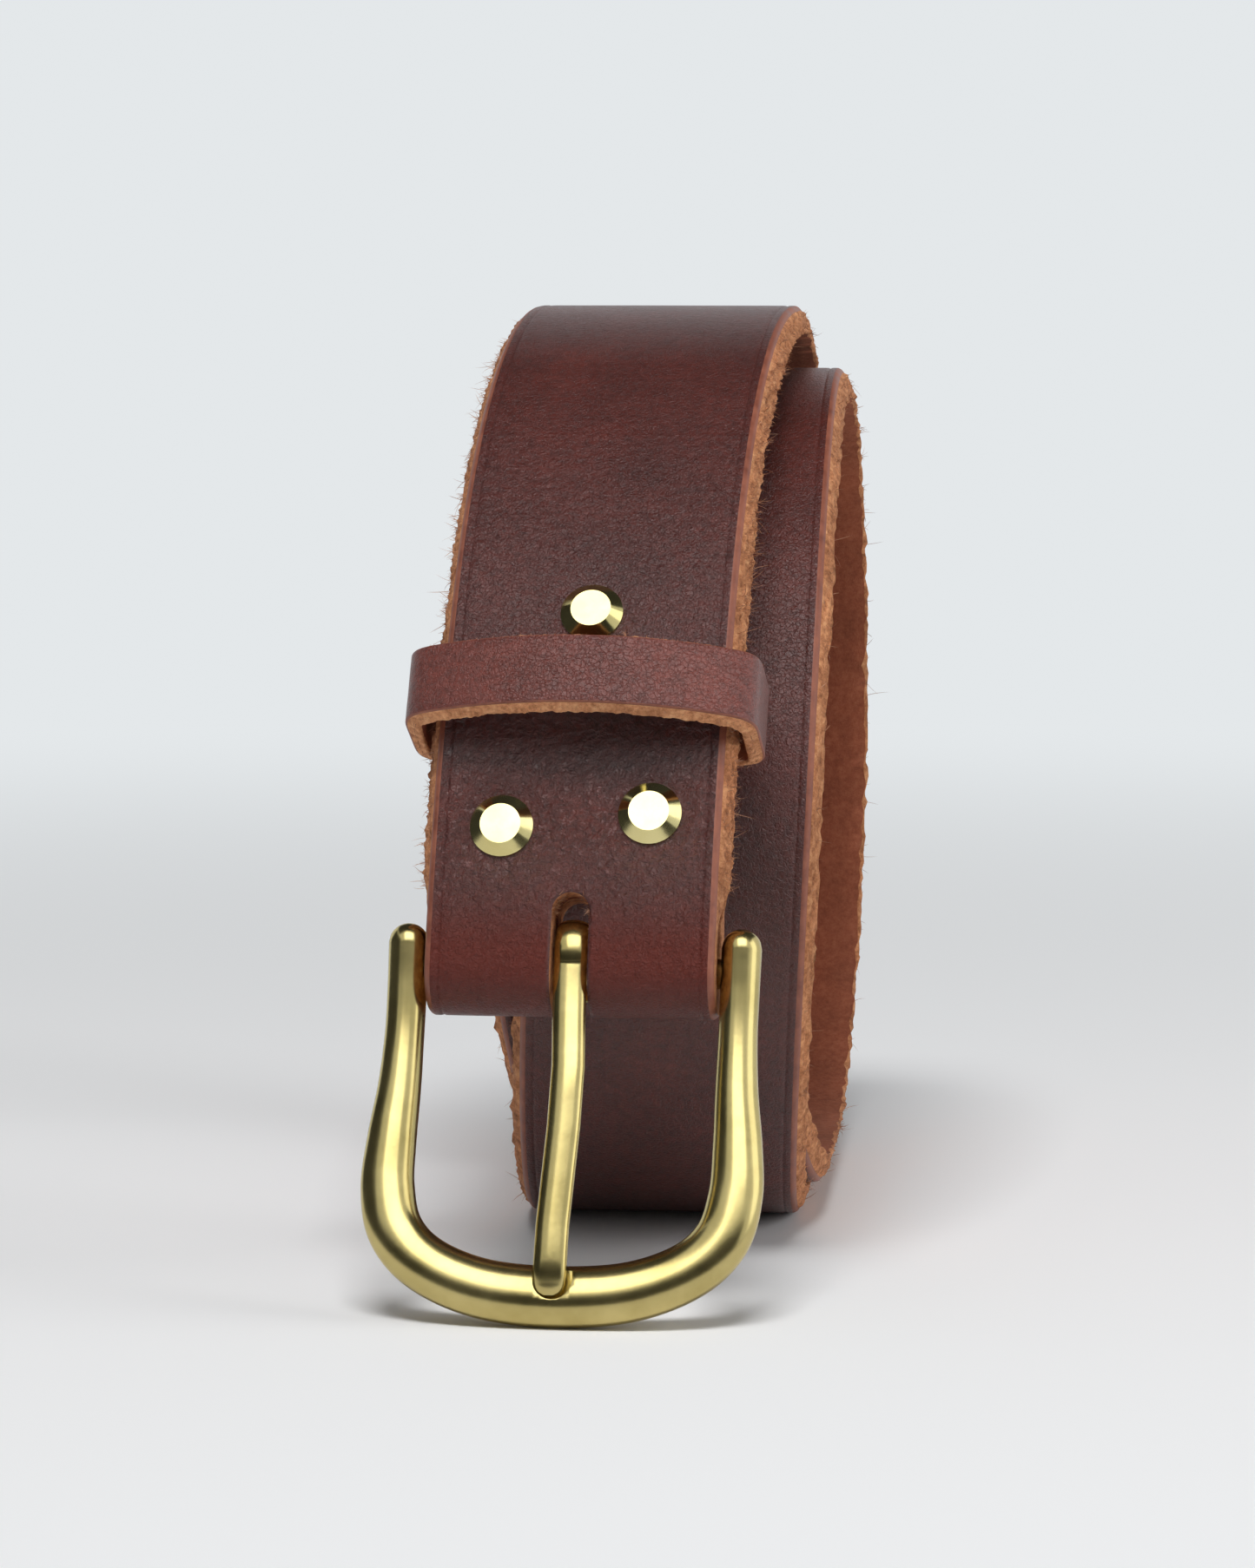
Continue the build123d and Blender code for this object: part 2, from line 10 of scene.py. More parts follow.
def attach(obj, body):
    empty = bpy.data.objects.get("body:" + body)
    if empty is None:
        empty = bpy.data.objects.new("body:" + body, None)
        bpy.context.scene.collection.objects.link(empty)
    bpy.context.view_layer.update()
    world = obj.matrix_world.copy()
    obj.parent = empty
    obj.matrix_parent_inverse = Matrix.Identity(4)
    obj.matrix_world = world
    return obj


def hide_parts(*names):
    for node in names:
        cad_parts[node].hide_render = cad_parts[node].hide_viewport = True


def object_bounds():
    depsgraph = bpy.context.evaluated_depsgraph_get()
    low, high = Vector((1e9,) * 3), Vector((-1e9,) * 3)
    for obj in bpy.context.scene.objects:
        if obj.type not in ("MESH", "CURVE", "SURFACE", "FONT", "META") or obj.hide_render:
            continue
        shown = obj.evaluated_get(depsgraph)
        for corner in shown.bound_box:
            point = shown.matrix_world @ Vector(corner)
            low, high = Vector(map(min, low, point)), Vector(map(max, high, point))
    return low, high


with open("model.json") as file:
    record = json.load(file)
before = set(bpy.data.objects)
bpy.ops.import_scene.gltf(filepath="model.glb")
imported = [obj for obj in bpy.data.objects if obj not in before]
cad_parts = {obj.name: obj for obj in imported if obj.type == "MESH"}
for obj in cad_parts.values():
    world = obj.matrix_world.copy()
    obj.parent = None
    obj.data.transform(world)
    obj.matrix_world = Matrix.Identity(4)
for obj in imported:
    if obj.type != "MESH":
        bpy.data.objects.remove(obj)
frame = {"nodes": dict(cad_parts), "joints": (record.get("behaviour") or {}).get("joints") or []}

# A rolled leather belt. Lengths are in millimetres as far as the stage; MM turns them to metres.
# The strap's line is drawn in its own Y-Z plane, then moved so that its bar lies on the CAD hinge.

cad_low, cad_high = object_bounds()
MM = 0.001
JOINTS = {joint["name"]: joint for joint in frame["joints"]}
BAR = np.array(JOINTS["buckle_hinge"]["pos_m"]) / MM

# ---- strap ----
WIDTH = 38.5
THICK = 4.0
LAYER_GAP = 0.15             # between the strap and its turned-back flap
TOP_Z = 127.5                # middle of the leather at the top of the roll
SHOULDER = (84.0, 54.5)      # radius and turn of the front run from the top ...
FRONT = (159.0, 19.0)        # ... and from there down to the bar
BAR_GAP = 0.1
BAR_RADIUS = 2.0
FOLD_WRAP = 200.0            # degrees that the leather turns round the bar
BLEND_RADIUS = 26.0          # bend that brings the flap back onto the front run
FLAP_REACH = 65.0            # from the bar to the end of the flap
ROLL_YAW = math.radians(3.5)  # the roll is turned this much against the front run
ROLL_START = 5.0
CREST_Y = 3.0                # top of the inner turns
FOOT_BACK = 10.0             # flat foot that the roll stands on, from here ...
FOOT_FRONT = -16.0           # ... to here
FOOT_Z = [2.0, 6.4, 10.8]    # middle of the leather at the bottom of each turn
CREST_Z = [TOP_Z, 118.5, 111.0]
CREST_X = [0.0, 6.4, -4.0]   # sideways shift of the turns at the crest ...
FOOT_X = [1.8, 5.0, -2.0]    # ... at the foot
BACK_X = [0.9, 6.6, -3.2]    # ... half way down the back
FRONT_X = [5.4, -2.0]        # ... and half way up the front
TIP_LENGTH = 19.0
TIP_NARROWEST = 0.01         # square of the narrowest share of the width, at the very tip
HOLE_RADIUS = 2.3
HOLE_PITCH = 25.4
HOLES = 5
FIRST_HOLE = 102.0           # from the tip
HOLE_DEPTH = 2.7             # of the cutting tool, to each side of the leather's middle
SLOT_WIDTH = 5.0
SLOT_ABOVE = 9.6             # from the bar to the top of the prong slot
SLOT_BELOW = 12.0            # how far the slot's cutting tool goes below the bar ...
SLOT_DEPTH = 10.0            # ... and to each side of it
FINE_STEP = 0.5              # spacing of sections along the front run and the flap ...
COARSE_STEP = 1.4            # ... and along the roll
STRAIGHT = 0.0               # the radius that stands for a straight run

# ---- the strap's surface; a pair is the height and the size of an unevenness ----
EDGE_FLARE = 1.35            # the flesh side is cut a little wider than the grain side
EDGE_TRIM = 0.1
EDGE_RAGGED = (0.46, 1.0)
EDGE_FINE = (0.36, 0.45)
EDGE_WAVY = (0.25, 3.5)
EDGE_PITTED = (0.10, 0.8)
GRAIN_WAVY = (0.05, 14.0)
FLESH_NAP = (0.05, 1.3)
LEG_CLEARANCE = 7.5          # this close to the bar the edge is trimmed straight, clear of the buckle ...
LEG_FADE = 5.0               # ... and over this length it grows rough
CRUMPLE = (17.0, 26.0)       # distance above the bar where creases are deepest, and how far they reach
FAINT_CRUMPLE = (55.0, 25.0, 0.35)  # the same for the faint creases round the upper rivet, and their share
FOLD_GLOW = (1.0, 7.0)       # the same for the painted light at the fold: a redder colour there, where the leather also shines less

# ---- rivets: distance above the bar, place across, both on the front run ----
RIVETS = [(18.2, -9.8), (20.2, 9.8), (48.8, 0.0)]
CAP_RADIUS = 4.2
SHANK_RADIUS = 1.6
SHANK_GAP = 0.05
SHANK_BACK, SHANK_FRONT = -6.6, 2.6
DENT = 0.22                  # how deep a rivet presses the leather in ...
DENT_SPREAD = 1.5            # ... and how far the dent reaches beyond its cap

# ---- loose fibres; a pair is a least and a most ----
EDGE_FIBRES = 3400
SLOT_FIBRES = 420
KEEPER_FIBRES = 420
FRONT_END = 110.0            # distance above the bar where the front run ends, for the fibres
FRONT_SHARE = 0.62           # share of the edge fibres that stand on the front run
BARE_FOLD = 11.0             # no edge fibres this close to the bar ...
BARE_TIP = 25.0              # ... and this close to the tip
SWEPT = (-13.0, 9.0)         # where the keeper slides, from its middle, and wears the fibres ...
SWEPT_LENGTH = 0.45          # ... down to this length
PRONG_CLEAR = 7.0            # below this height the prong's loop keeps the slot's fibres short
SHORT_FIBRES = (0.15, 0.3)
LONG_FIBRES = (0.35, 1.1)
EDGE_RADII = (0.03, 0.065)   # of the fibres at their roots
TUFT_RADII = (0.03, 0.06)
SLOT_RADII = (0.035, 0.07)
KEEPER_RADII = (0.03, 0.05)
# (distance above the bar, side) of the tufts that stand out
TUFTS = [(15.0, 1.0), (22.0, 1.0), (28.5, -1.0), (29.5, -1.0), (62.0, -1.0), (80.0, -1.0)]

# ---- keeper ----
KEEPER_AT = 36.4
KEEPER_LENGTH = 10.6
KEEPER_THICK = 2.2
KEEPER_HALF = 21.4
KEEPER_RISE = 7.0            # crown of the dome above the strap
KEEPER_SPRING = 3.0          # height where the dome leaves the sides
KEEPER_BACK = THICK + THICK + LAYER_GAP + 0.75
KEEPER_ROUNDING = 9.0
KEEPER_POINTS = 1200         # along the loop
KEEPER_RAGGED = (0.20, 0.9)
KEEPER_FINE = (0.16, 0.45)
KEEPER_TRIM = 0.08
KEEPER_PITTED = (0.08, 0.7)
KEEPER_NAP = (0.06, 1.0)
KEEPER_WAVY = (0.03, 9.0)

# ---- buckle: rows from knob to the middle of the rim ----
# (down from the bar, across, width, thickness, lift towards the front)
FRAME_ROWS = [
    (-3.0, 22.15, 5.3, 5.3, 1.5),
    (3.0, 22.1, 5.2, 5.0, 0.75),
    (9.0, 22.1, 5.2, 4.8, 0.25),
    (16.0, 22.3, 5.7, 5.0, 0.0),
    (23.0, 22.8, 6.5, 5.2, 0.0),
    (29.5, 22.9, 7.1, 5.2, 0.0),
    (35.3, 21.4, 7.4, 5.2, 0.0),
    (39.6, 17.1, 7.6, 5.2, 0.0),
    (42.5, 9.6, 7.9, 5.2, 0.0),
    (43.35, 0.0, 8.1, 5.2, 0.0),
]
FRAME_STEPS = 12             # sections from one row to the next
FRAME_FULLNESS = (2.0, 2.5)  # of the section in front and behind: 2 is an ellipse, more is squarer
FRAME_THICK = 5.2
FRAME_DROP = 47.2            # from the bar to the outer edge of the rim
FRAME_ROUND = 0.5
KNOB_STEPS = 8               # sections in the rounding of a knob
KNOB_SMALLEST = 0.04
BAR_HALF = 21.5
WORN_EDGE = 0.18
SEAT_WIDTH = 5.2
SEAT_START = 34.2            # the prong's seat in the rim, down from the bar, from here ...
SEAT_END = 44.8              # ... to here
SEAT_DEPTH = 0.9

# ---- prong: (down from the bar, out from the bar's axis, width, thickness) along the blade ----
BLADE_STEPS = 10             # sections from one row to the next
PRONG_FULLNESS = (2.15, 3.0)
PRONG_WIDTH = 4.4
PRONG_THICK = 2.4
PRONG_LOOP_END = -150.0      # degrees; the loop's open end, behind the bar
PRONG_LOOP_STEPS = 60
PRONG_LOOP_RISE = 2.4        # how far the loop stands up off the bar ...
PRONG_RISE_AT = 32.0         # ... at this angle
PRONG_RISE_SPREAD = 52.0
# (down from the bar, sideways)
PRONG_SWAY = [(2.0, 0.0), (7.0, 0.18), (14.0, 0.55), (22.0, 0.4), (35.0, -0.3), (45.0, -0.35)]
BLADE_ROWS = [
    (0.0, 4.0, 4.4, 2.4),
    (5.0, 3.75, 4.4, 2.4),
    (10.5, 3.72, 4.4, 2.4),
    (15.6, 3.8, 4.4, 2.45),
    (21.0, 3.6, 4.4, 2.45),
    (30.0, 3.3, 4.4, 2.4),
    (38.0, 3.03, 4.4, 2.4),
    (41.0, 2.88, 4.35, 2.2),
    (42.9, 2.62, 3.9, 1.7),
    (43.8, 2.46, 3.0, 1.35),
    (44.25, 2.38, 1.7, 1.0),
]


# ======== the strap's line ========
def unit(vectors):
    return vectors / np.linalg.norm(vectors, axis=-1, keepdims=True)


def heading(angle):
    a = math.radians(angle)
    return np.array([math.cos(a), math.sin(a)])


def advance(station, radius, amount):
    """Station (y, z, heading) after an arc of a signed turn, or a straight run."""
    place = np.array(station[:2])
    if radius == STRAIGHT:
        place = place + amount * heading(station[2])
        return (place[0], place[1], station[2])
    side = 90.0 if amount > 0 else -90.0
    centre = place + radius * heading(station[2] + side)
    place = centre - radius * heading(station[2] + side + amount)
    return (place[0], place[1], station[2] + amount)


def step_length(radius, amount):
    return abs(amount) if radius == STRAIGHT else abs(math.radians(amount)) * radius


def chain(start, steps):
    """Station at the end of some steps."""
    for radius, amount in steps:
        start = advance(start, radius, amount)
    return start


def sample(start, steps, spacing):
    """Stations every so often along some steps, without the last one."""
    stations = []
    for radius, amount in steps:
        count = max(2, math.ceil(step_length(radius, amount) / spacing))
        stations += [advance(start, radius, amount * i / count) for i in range(count)]
        start = advance(start, radius, amount)
    return stations


CREST = (0.0, TOP_Z, 180.0)
AT_BAR = chain(CREST, [SHOULDER, FRONT])
FRONT_LENGTH = step_length(*SHOULDER) + step_length(*FRONT)
FOLD_RADIUS = BAR_RADIUS + BAR_GAP + THICK / 2
DRAWN_BAR = np.array(AT_BAR[:2]) + FOLD_RADIUS * heading(AT_BAR[2] + 90.0)
SHIFT = np.array([BAR[0], BAR[1] - DRAWN_BAR[0], BAR[2] - DRAWN_BAR[1]])


def flap_steps():
    """Round the bar, straight, back onto the front run, and up behind it."""
    layer = THICK + LAYER_GAP
    leave = advance(AT_BAR, FOLD_RADIUS, FOLD_WRAP)
    centre = np.array(AT_BAR[:2]) + FRONT[0] * heading(AT_BAR[2] + 90.0)
    radius = FRONT[0] - layer
    toward = heading(leave[2])
    first = np.array(leave[:2]) + BLEND_RADIUS * heading(leave[2] - 90.0) - centre
    reach = radius - BLEND_RADIUS
    half_b = first @ toward
    run = -half_b + math.sqrt(half_b ** 2 - first @ first + reach ** 2)
    blend_centre = first + run * toward
    blend_end = math.degrees(math.atan2(blend_centre[1], blend_centre[0])) - 90.0
    blend = (leave[2] - 360.0) - blend_end
    front_part = blend_end - (AT_BAR[2] - 180.0 - FRONT[1])
    covered = radius * math.radians(AT_BAR[2] - 180.0 - blend_end + front_part)
    shoulder_radius = SHOULDER[0] - layer
    shoulder_part = math.degrees((FLAP_REACH - covered) / shoulder_radius)
    return [
        (FOLD_RADIUS, FOLD_WRAP),
        (STRAIGHT, run),
        (BLEND_RADIUS, -blend),
        (radius, -front_part),
        (shoulder_radius, -shoulder_part),
    ]


def parabola(slab, z):
    """Sideways shift at a height, through three (height, shift) pairs."""
    (z0, x0), (z1, x1), (z2, x2) = slab
    low = x0 * (z - z1) * (z - z2) / ((z0 - z1) * (z0 - z2))
    mid = x1 * (z - z0) * (z - z2) / ((z1 - z0) * (z1 - z2))
    high = x2 * (z - z0) * (z - z1) / ((z2 - z0) * (z2 - z1))
    return low + mid + high


def roll_stretches():
    """(steps, slab) for each half turn and foot of the roll, from the crest inward."""
    stretches = []
    for turn in range(3):
        top_y = ROLL_START if turn == 0 else CREST_Y
        foot, crest = FOOT_Z[turn], CREST_Z[turn]
        total, extra = crest - foot, FOOT_BACK - top_y
        down = [((total + extra) / 2, -90.0), ((total - extra) / 2, -90.0)]
        slab = ((foot, FOOT_X[turn]), ((foot + crest) / 2, BACK_X[turn]), (crest, CREST_X[turn]))
        stretches.append((down, slab))
        if turn == 2:
            return stretches
        flat = ((foot - 1, FOOT_X[turn]), (foot, FOOT_X[turn]), (foot + 1, FOOT_X[turn]))
        stretches.append(([(STRAIGHT, FOOT_BACK - FOOT_FRONT)], flat))
        top = CREST_Z[turn + 1]
        total, extra = top - foot, CREST_Y - FOOT_FRONT
        up = [((total - extra) / 2, -90.0), ((total + extra) / 2, -90.0)]
        middle = ((foot + top) / 2, FRONT_X[turn])
        stretches.append((up, ((foot, FOOT_X[turn]), middle, (top, CREST_X[turn + 1]))))


def strap_line():
    """Centres, across and outward directions, and distance above the bar, from flap end to tip."""
    rows = []
    ahead = sample(CREST, [SHOULDER, FRONT] + flap_steps(), FINE_STEP)
    ahead.append(chain(CREST, [SHOULDER, FRONT] + flap_steps()))
    for y, z, angle in reversed(ahead):
        rows.append(((0.0, y, z), 0.0, angle - 90.0))
    station = (ROLL_START, TOP_Z, 0.0)
    for steps, slab in roll_stretches():
        stations = sample(station, steps, COARSE_STEP)
        station = chain(station, steps)
        for y, z, angle in stations:
            rows.append(((parabola(slab, z), y, z), ROLL_YAW, angle + 90.0))
    rows.append(((parabola(slab, station[1]), station[0], station[1]), ROLL_YAW, station[2] + 90.0))
    centres, across, outward = [], [], []
    for (x, y, z), yaw, angle in rows:
        turn = np.array([[math.cos(yaw), -math.sin(yaw), 0], [math.sin(yaw), math.cos(yaw), 0], [0, 0, 1]])
        centres.append(turn @ np.array([x, y, z]) + SHIFT)
        across.append(turn @ np.array([1.0, 0, 0]))
        outward.append(turn @ np.array([0, *heading(angle)]))
    centres = np.array(centres)
    runs = np.linalg.norm(np.diff(centres, axis=0), axis=1)
    distance = np.concatenate([[0], np.cumsum(runs)])
    crest = len(ahead) - 1
    above_bar = distance - (distance[crest] - FRONT_LENGTH)
    return centres, np.array(across), np.array(outward), above_bar


LINE = strap_line()


def front_place(above_bar, across, out):
    """Point and directions (across, up the strap, outward) over the front run."""
    centres, sideways, outward, distance = LINE
    i = int(np.searchsorted(distance, above_bar))
    share = (above_bar - distance[i - 1]) / (distance[i] - distance[i - 1])
    point = centres[i - 1] + share * (centres[i] - centres[i - 1])
    normal = unit(outward[i - 1] + share * (outward[i] - outward[i - 1]))
    up = np.cross(normal, sideways[i])
    return point + across * sideways[i] + out * normal, sideways[i], up, normal


# ======== meshes ========
def skin(name, rings, kinds=0, cap_kind=0):
    """Closed mesh over rings of points in millimetres; kinds: the material of each strip, or of all."""
    count, size = rings.shape[:2]
    i, j = np.meshgrid(np.arange(count - 1), np.arange(size), indexing="ij")
    after = (j + 1) % size
    quads = np.stack([i * size + j, i * size + after, (i + 1) * size + after, (i + 1) * size + j], -1)
    faces = quads.reshape(-1, 4).tolist()
    faces.append(list(range(size))[::-1])
    faces.append(list(range((count - 1) * size, count * size)))
    mesh = bpy.data.meshes.new(name)
    mesh.from_pydata((rings.reshape(-1, 3) * MM).tolist(), [], faces)
    indices = np.full(len(faces), cap_kind)
    indices[:-2] = np.tile(np.broadcast_to(kinds, size), count - 1)
    mesh.polygons.foreach_set("material_index", indices)
    mesh.polygons.foreach_set("use_smooth", np.ones(len(faces), bool))
    mesh.update()
    if mesh_volume(mesh) < 0:
        mesh.flip_normals()
    return new_object(name, mesh)


def mesh_volume(mesh):
    mesh.calc_loop_triangles()
    points = np.array([v.co for v in mesh.vertices])
    triangles = np.array([t.vertices[:] for t in mesh.loop_triangles])
    a, b, c = (points[triangles[:, k]] for k in range(3))
    return float(np.einsum("ij,ij->", a, np.cross(b, c)))


def new_object(name, data):
    made = bpy.data.objects.new(name, data)
    bpy.context.scene.collection.objects.link(made)
    return made


def prism(name, outline, origin, x_dir, y_dir, low, high, kind=0):
    """Straight solid on an outline in a plane, between two heights."""
    z_dir = np.cross(x_dir, y_dir)
    rings = [[origin + x * x_dir + y * y_dir + z * z_dir for x, y in outline] for z in (low, high)]
    made = skin(name, np.array(rings), kind, kind)
    made.data.polygons.foreach_set("use_smooth", np.zeros(len(made.data.polygons), bool))
    return made


def circle(radius, count=32):
    angles = [2 * math.pi * k / count for k in range(count)]
    return [(radius * math.cos(a), radius * math.sin(a)) for a in angles]


def combine(target, operation, other):
    """Boolean of the target with another solid, which is used up."""
    modifier = target.modifiers.new("cut", "BOOLEAN")
    modifier.operation = operation
    modifier.solver = "EXACT"
    modifier.material_mode = "INDEX"
    modifier.object = other
    graph = bpy.context.evaluated_depsgraph_get()
    result = bpy.data.meshes.new_from_object(target.evaluated_get(graph))
    target.modifiers.clear()
    target.data = result
    bpy.data.objects.remove(other)


def join(name, objects):
    """One object of several meshes, for use as a single cutting tool."""
    verts, faces, kinds = [], [], []
    for item in objects:
        base = len(verts)
        verts += [tuple(v.co) for v in item.data.vertices]
        faces += [[base + k for k in p.vertices] for p in item.data.polygons]
        kinds += [p.material_index for p in item.data.polygons]
        bpy.data.objects.remove(item)
    mesh = bpy.data.meshes.new(name)
    mesh.from_pydata(verts, [], faces)
    mesh.polygons.foreach_set("material_index", kinds)
    mesh.update()
    return new_object(name, mesh)


def smooth_rows(rows, per_step):
    """Catmull-Rom curve through rows of numbers."""
    rows = np.array(rows, float)
    padded = np.vstack([2 * rows[0] - rows[1], rows, 2 * rows[-1] - rows[-2]])
    out = []
    for k in range(1, len(padded) - 2):
        a, b, c, d = padded[k - 1:k + 3]
        for t in np.arange(per_step) / per_step:
            out.append(0.5 * (2 * b + (c - a) * t + (2 * a - 5 * b + 4 * c - d) * t ** 2
                              + (3 * b - a - 3 * c + d) * t ** 3))
    out.append(padded[-2])
    return np.array(out)


def rough(point, unevenness):
    """Noise at a point, from the height and the size of an unevenness."""
    height, size = unevenness
    return height * noise.noise(Vector(point) / size)


# ======== materials ========
# The scale of a noise is in features per metre, and the height of a bump in millimetres.
class Recipe:
    """A material being made. Most methods add one node and give its output."""

    def __init__(self, name):
        self.material = bpy.data.materials.new(name)
        self.material.use_nodes = True
        self.nodes, self.links = self.material.node_tree.nodes, self.material.node_tree.links
        self.shader = self.nodes["Principled BSDF"]

    def feed(self, socket, value):
        """Links an output to a socket, or sets a constant on it."""
        if isinstance(value, bpy.types.NodeSocket):
            self.links.new(value, socket)
        else:
            socket.default_value = (*value, 1.0) if isinstance(value, tuple) else value

    def add(self, kind, output, inputs, **settings):
        node = self.nodes.new("ShaderNode" + kind)
        for key, value in settings.items():
            setattr(node, key, value)
        for key, value in inputs.items():
            self.feed(node.inputs[key], value)
        return node.outputs[output]

    def where(self):
        return self.add("TexCoord", "Object", {})

    def noise(self, where, scale, detail, roughness, output="Fac"):
        inputs = {"Vector": where, "Scale": scale, "Detail": detail, "Roughness": roughness}
        return self.add("TexNoise", output, inputs)

    def cells(self, where, scale, feature):
        return self.add("TexVoronoi", "Distance", {"Vector": where, "Scale": scale}, feature=feature)

    def weight(self, name):
        return self.add("Attribute", "Fac", {}, attribute_name=name)

    def ramp(self, source, *stops):
        """Colour ramp from (position, colour or grey) stops."""
        node = self.nodes.new("ShaderNodeValToRGB")
        while len(node.color_ramp.elements) < len(stops):
            node.color_ramp.elements.new(0.5)
        for element, (position, colour) in zip(node.color_ramp.elements, stops):
            element.position = position
            grey = (colour,) * 3 if isinstance(colour, float) else colour
            element.color = (*grey, 1.0)
        self.links.new(source, node.inputs["Fac"])
        return node.outputs["Color"]

    def mix(self, factor, a, b, blend="MIX"):
        inputs = {"Factor": factor, "A": a, "B": b}
        return self.add("Mix", "Result", inputs, data_type="RGBA", blend_type=blend)

    def maths(self, operation, a, b):
        return self.add("Math", "Value", {0: a, 1: b}, operation=operation)

    def bump(self, height, distance, strength, before=None):
        inputs = {"Strength": strength, "Distance": distance * MM, "Height": height}
        if before is not None:
            inputs["Normal"] = before
        return self.add("Bump", "Normal", inputs)

    def glow(self):
        return self.add("Emission", "Emission", {"Color": PALE})

    def show(self, surface):
        """Puts another shader than the main one on the surface."""
        self.links.new(surface, self.nodes["Material Output"].inputs["Surface"])

    def surface(self, inputs):
        """Feeds the main shader, and gives the material."""
        for key, value in inputs.items():
            self.feed(self.shader.inputs[key], value)
        return self.material


def grain_leather(name, dark, base, ruddy, weighted=False):
    """Dyed grain side: mottled colour, pores, fine creases, and a soft waxy sheen.
    A weighted one is also crumpled by one of the strap's two weights. The other paints light at the fold: a
    redder colour there, with less shine."""
    made = Recipe(name)
    where = made.where()
    cloud = made.noise(where, 55.0, 4.0, 0.6)
    colour = made.ramp(cloud, (0.30, dark), (0.62, base), (0.80, ruddy))
    speck = made.noise(where, 900.0, 3.0, 0.7)
    colour = made.mix(0.8, colour, made.ramp(speck, (0.35, 0.62), (0.55, 1.0), (0.75, 1.25)), "MULTIPLY")
    rise = made.noise(where, 1150.0, 5.0, 0.7)
    pits = made.ramp(made.cells(where, 2100.0, "F1"), (0.05, 0.0), (0.45, 1.0))
    bent = made.mix(0.0022, where, made.noise(where, 420.0, 3.0, 0.6, "Color"), "ADD")
    lines = made.ramp(made.cells(bent, 1450.0, "DISTANCE_TO_EDGE"), (0.0, 0.0), (0.10, 1.0))
    normal = made.bump(rise, 0.25, 0.9)
    normal = made.bump(pits, 0.08, 0.72, normal)
    normal = made.bump(lines, 0.10, 0.63, normal)
    shine = 0.75
    if weighted:
        ridges = made.ramp(made.noise(where, 760.0, 5.0, 0.6), (0.40, 0.0), (0.60, 1.0))
        wrinkled = made.maths("MULTIPLY", ridges, made.weight("crumple"))
        normal = made.bump(wrinkled, 0.32, 0.9, normal)
        # painted light at the fold: the fold weight mixes the colour toward the ruddy tone, and also lowers
        # the specular
        fold = made.weight("fold")
        colour = made.mix(made.maths("MULTIPLY", fold, 0.55), colour, ruddy)
        shine = made.maths("ADD", made.maths("MULTIPLY", fold, -0.5), shine)
    return made.surface({
        "Base Color": colour,
        "Roughness": made.ramp(rise, (0.25, 0.27), (0.75, 0.38)),
        "Normal": normal,
        "Specular IOR Level": shine,
        "Coat Weight": 0.05,
        "Coat Roughness": 0.3,
    })


def fibrous_leather(name, dark, base, light, scale, depth):
    """Undyed or thinly dyed raw leather: matted fibres, with painted shade in the pits between them. The
    colour is darker where the bump is low, and lighter on raised fibres, partly as painted light.
    """
    made = Recipe(name)
    where = made.where()
    mat = made.noise(where, scale, 6.0, 0.75)
    blotch = made.noise(where, scale / 9, 3.0, 0.6)
    # painted shade and light: the colour reads the same noise as the bump, so the pits are darker and the
    # raised fibres lighter
    colour = made.ramp(mat, (0.32, dark), (0.5, base), (0.68, light))
    return made.surface({
        "Base Color": made.mix(0.8, colour, made.ramp(blotch, (0.3, 0.72), (0.7, 1.18)), "MULTIPLY"),
        "Normal": made.bump(mat, depth, 0.8),
        "Roughness": 0.9,
        "Specular IOR Level": 0.2,
        "Sheen Weight": 0.1,
        "Sheen Roughness": 0.5,
        "Sheen Tint": (0.85, 0.55, 0.38),
    })


def burnished_edge(name, dark, base):
    """Leather rubbed smooth in streaks."""
    made = Recipe(name)
    streak = made.noise(made.where(), 380.0, 5.0, 0.6)
    return made.surface({
        "Base Color": made.ramp(streak, (0.3, dark), (0.65, base)),
        "Roughness": made.ramp(streak, (0.3, 0.38), (0.7, 0.55)),
        "Normal": made.bump(streak, 0.1, 0.5),
    })


def brass(name, tarnish, base, roughness, spread, depth):
    """Solid brass: slightly uneven polish, fine rubbing marks, tarnish in patches."""
    made = Recipe(name)
    where = made.where()
    cloud = made.noise(where, 140.0, 5.0, 0.6)
    wave = made.bump(made.noise(where, 260.0, 3.0, 0.5), depth * 1.6, 0.5)
    return made.surface({
        "Base Color": made.ramp(cloud, (0.25, tarnish), (0.6, base)),
        "Roughness": made.ramp(cloud, (0.3, roughness - spread), (0.7, roughness + spread)),
        "Normal": made.bump(made.noise(where, 1400.0, 4.0, 0.7), depth, 0.5, wave),
        "Metallic": 1.0,
    })


def drawn_wire(name):
    """Steel wire with the streaks of the die."""
    made = Recipe(name)
    streak = made.noise(made.where(), 900.0, 4.0, 0.6)
    return made.surface({
        "Base Color": made.ramp(streak, (0.3, (0.42, 0.42, 0.43)), (0.7, (0.64, 0.64, 0.65))),
        "Normal": made.bump(streak, 0.02, 0.5),
        "Metallic": 1.0,
        "Roughness": 0.34,
    })


def dress(piece, *materials):
    """Gives a piece its materials, in the order of its faces' indices."""
    slots = piece.data.materials
    for index, item in enumerate(materials):
        if index < len(slots):
            slots[index] = item
        else:
            slots.append(item)


PALE = (0.775, 0.805, 0.822)  # the studio's paper and its light

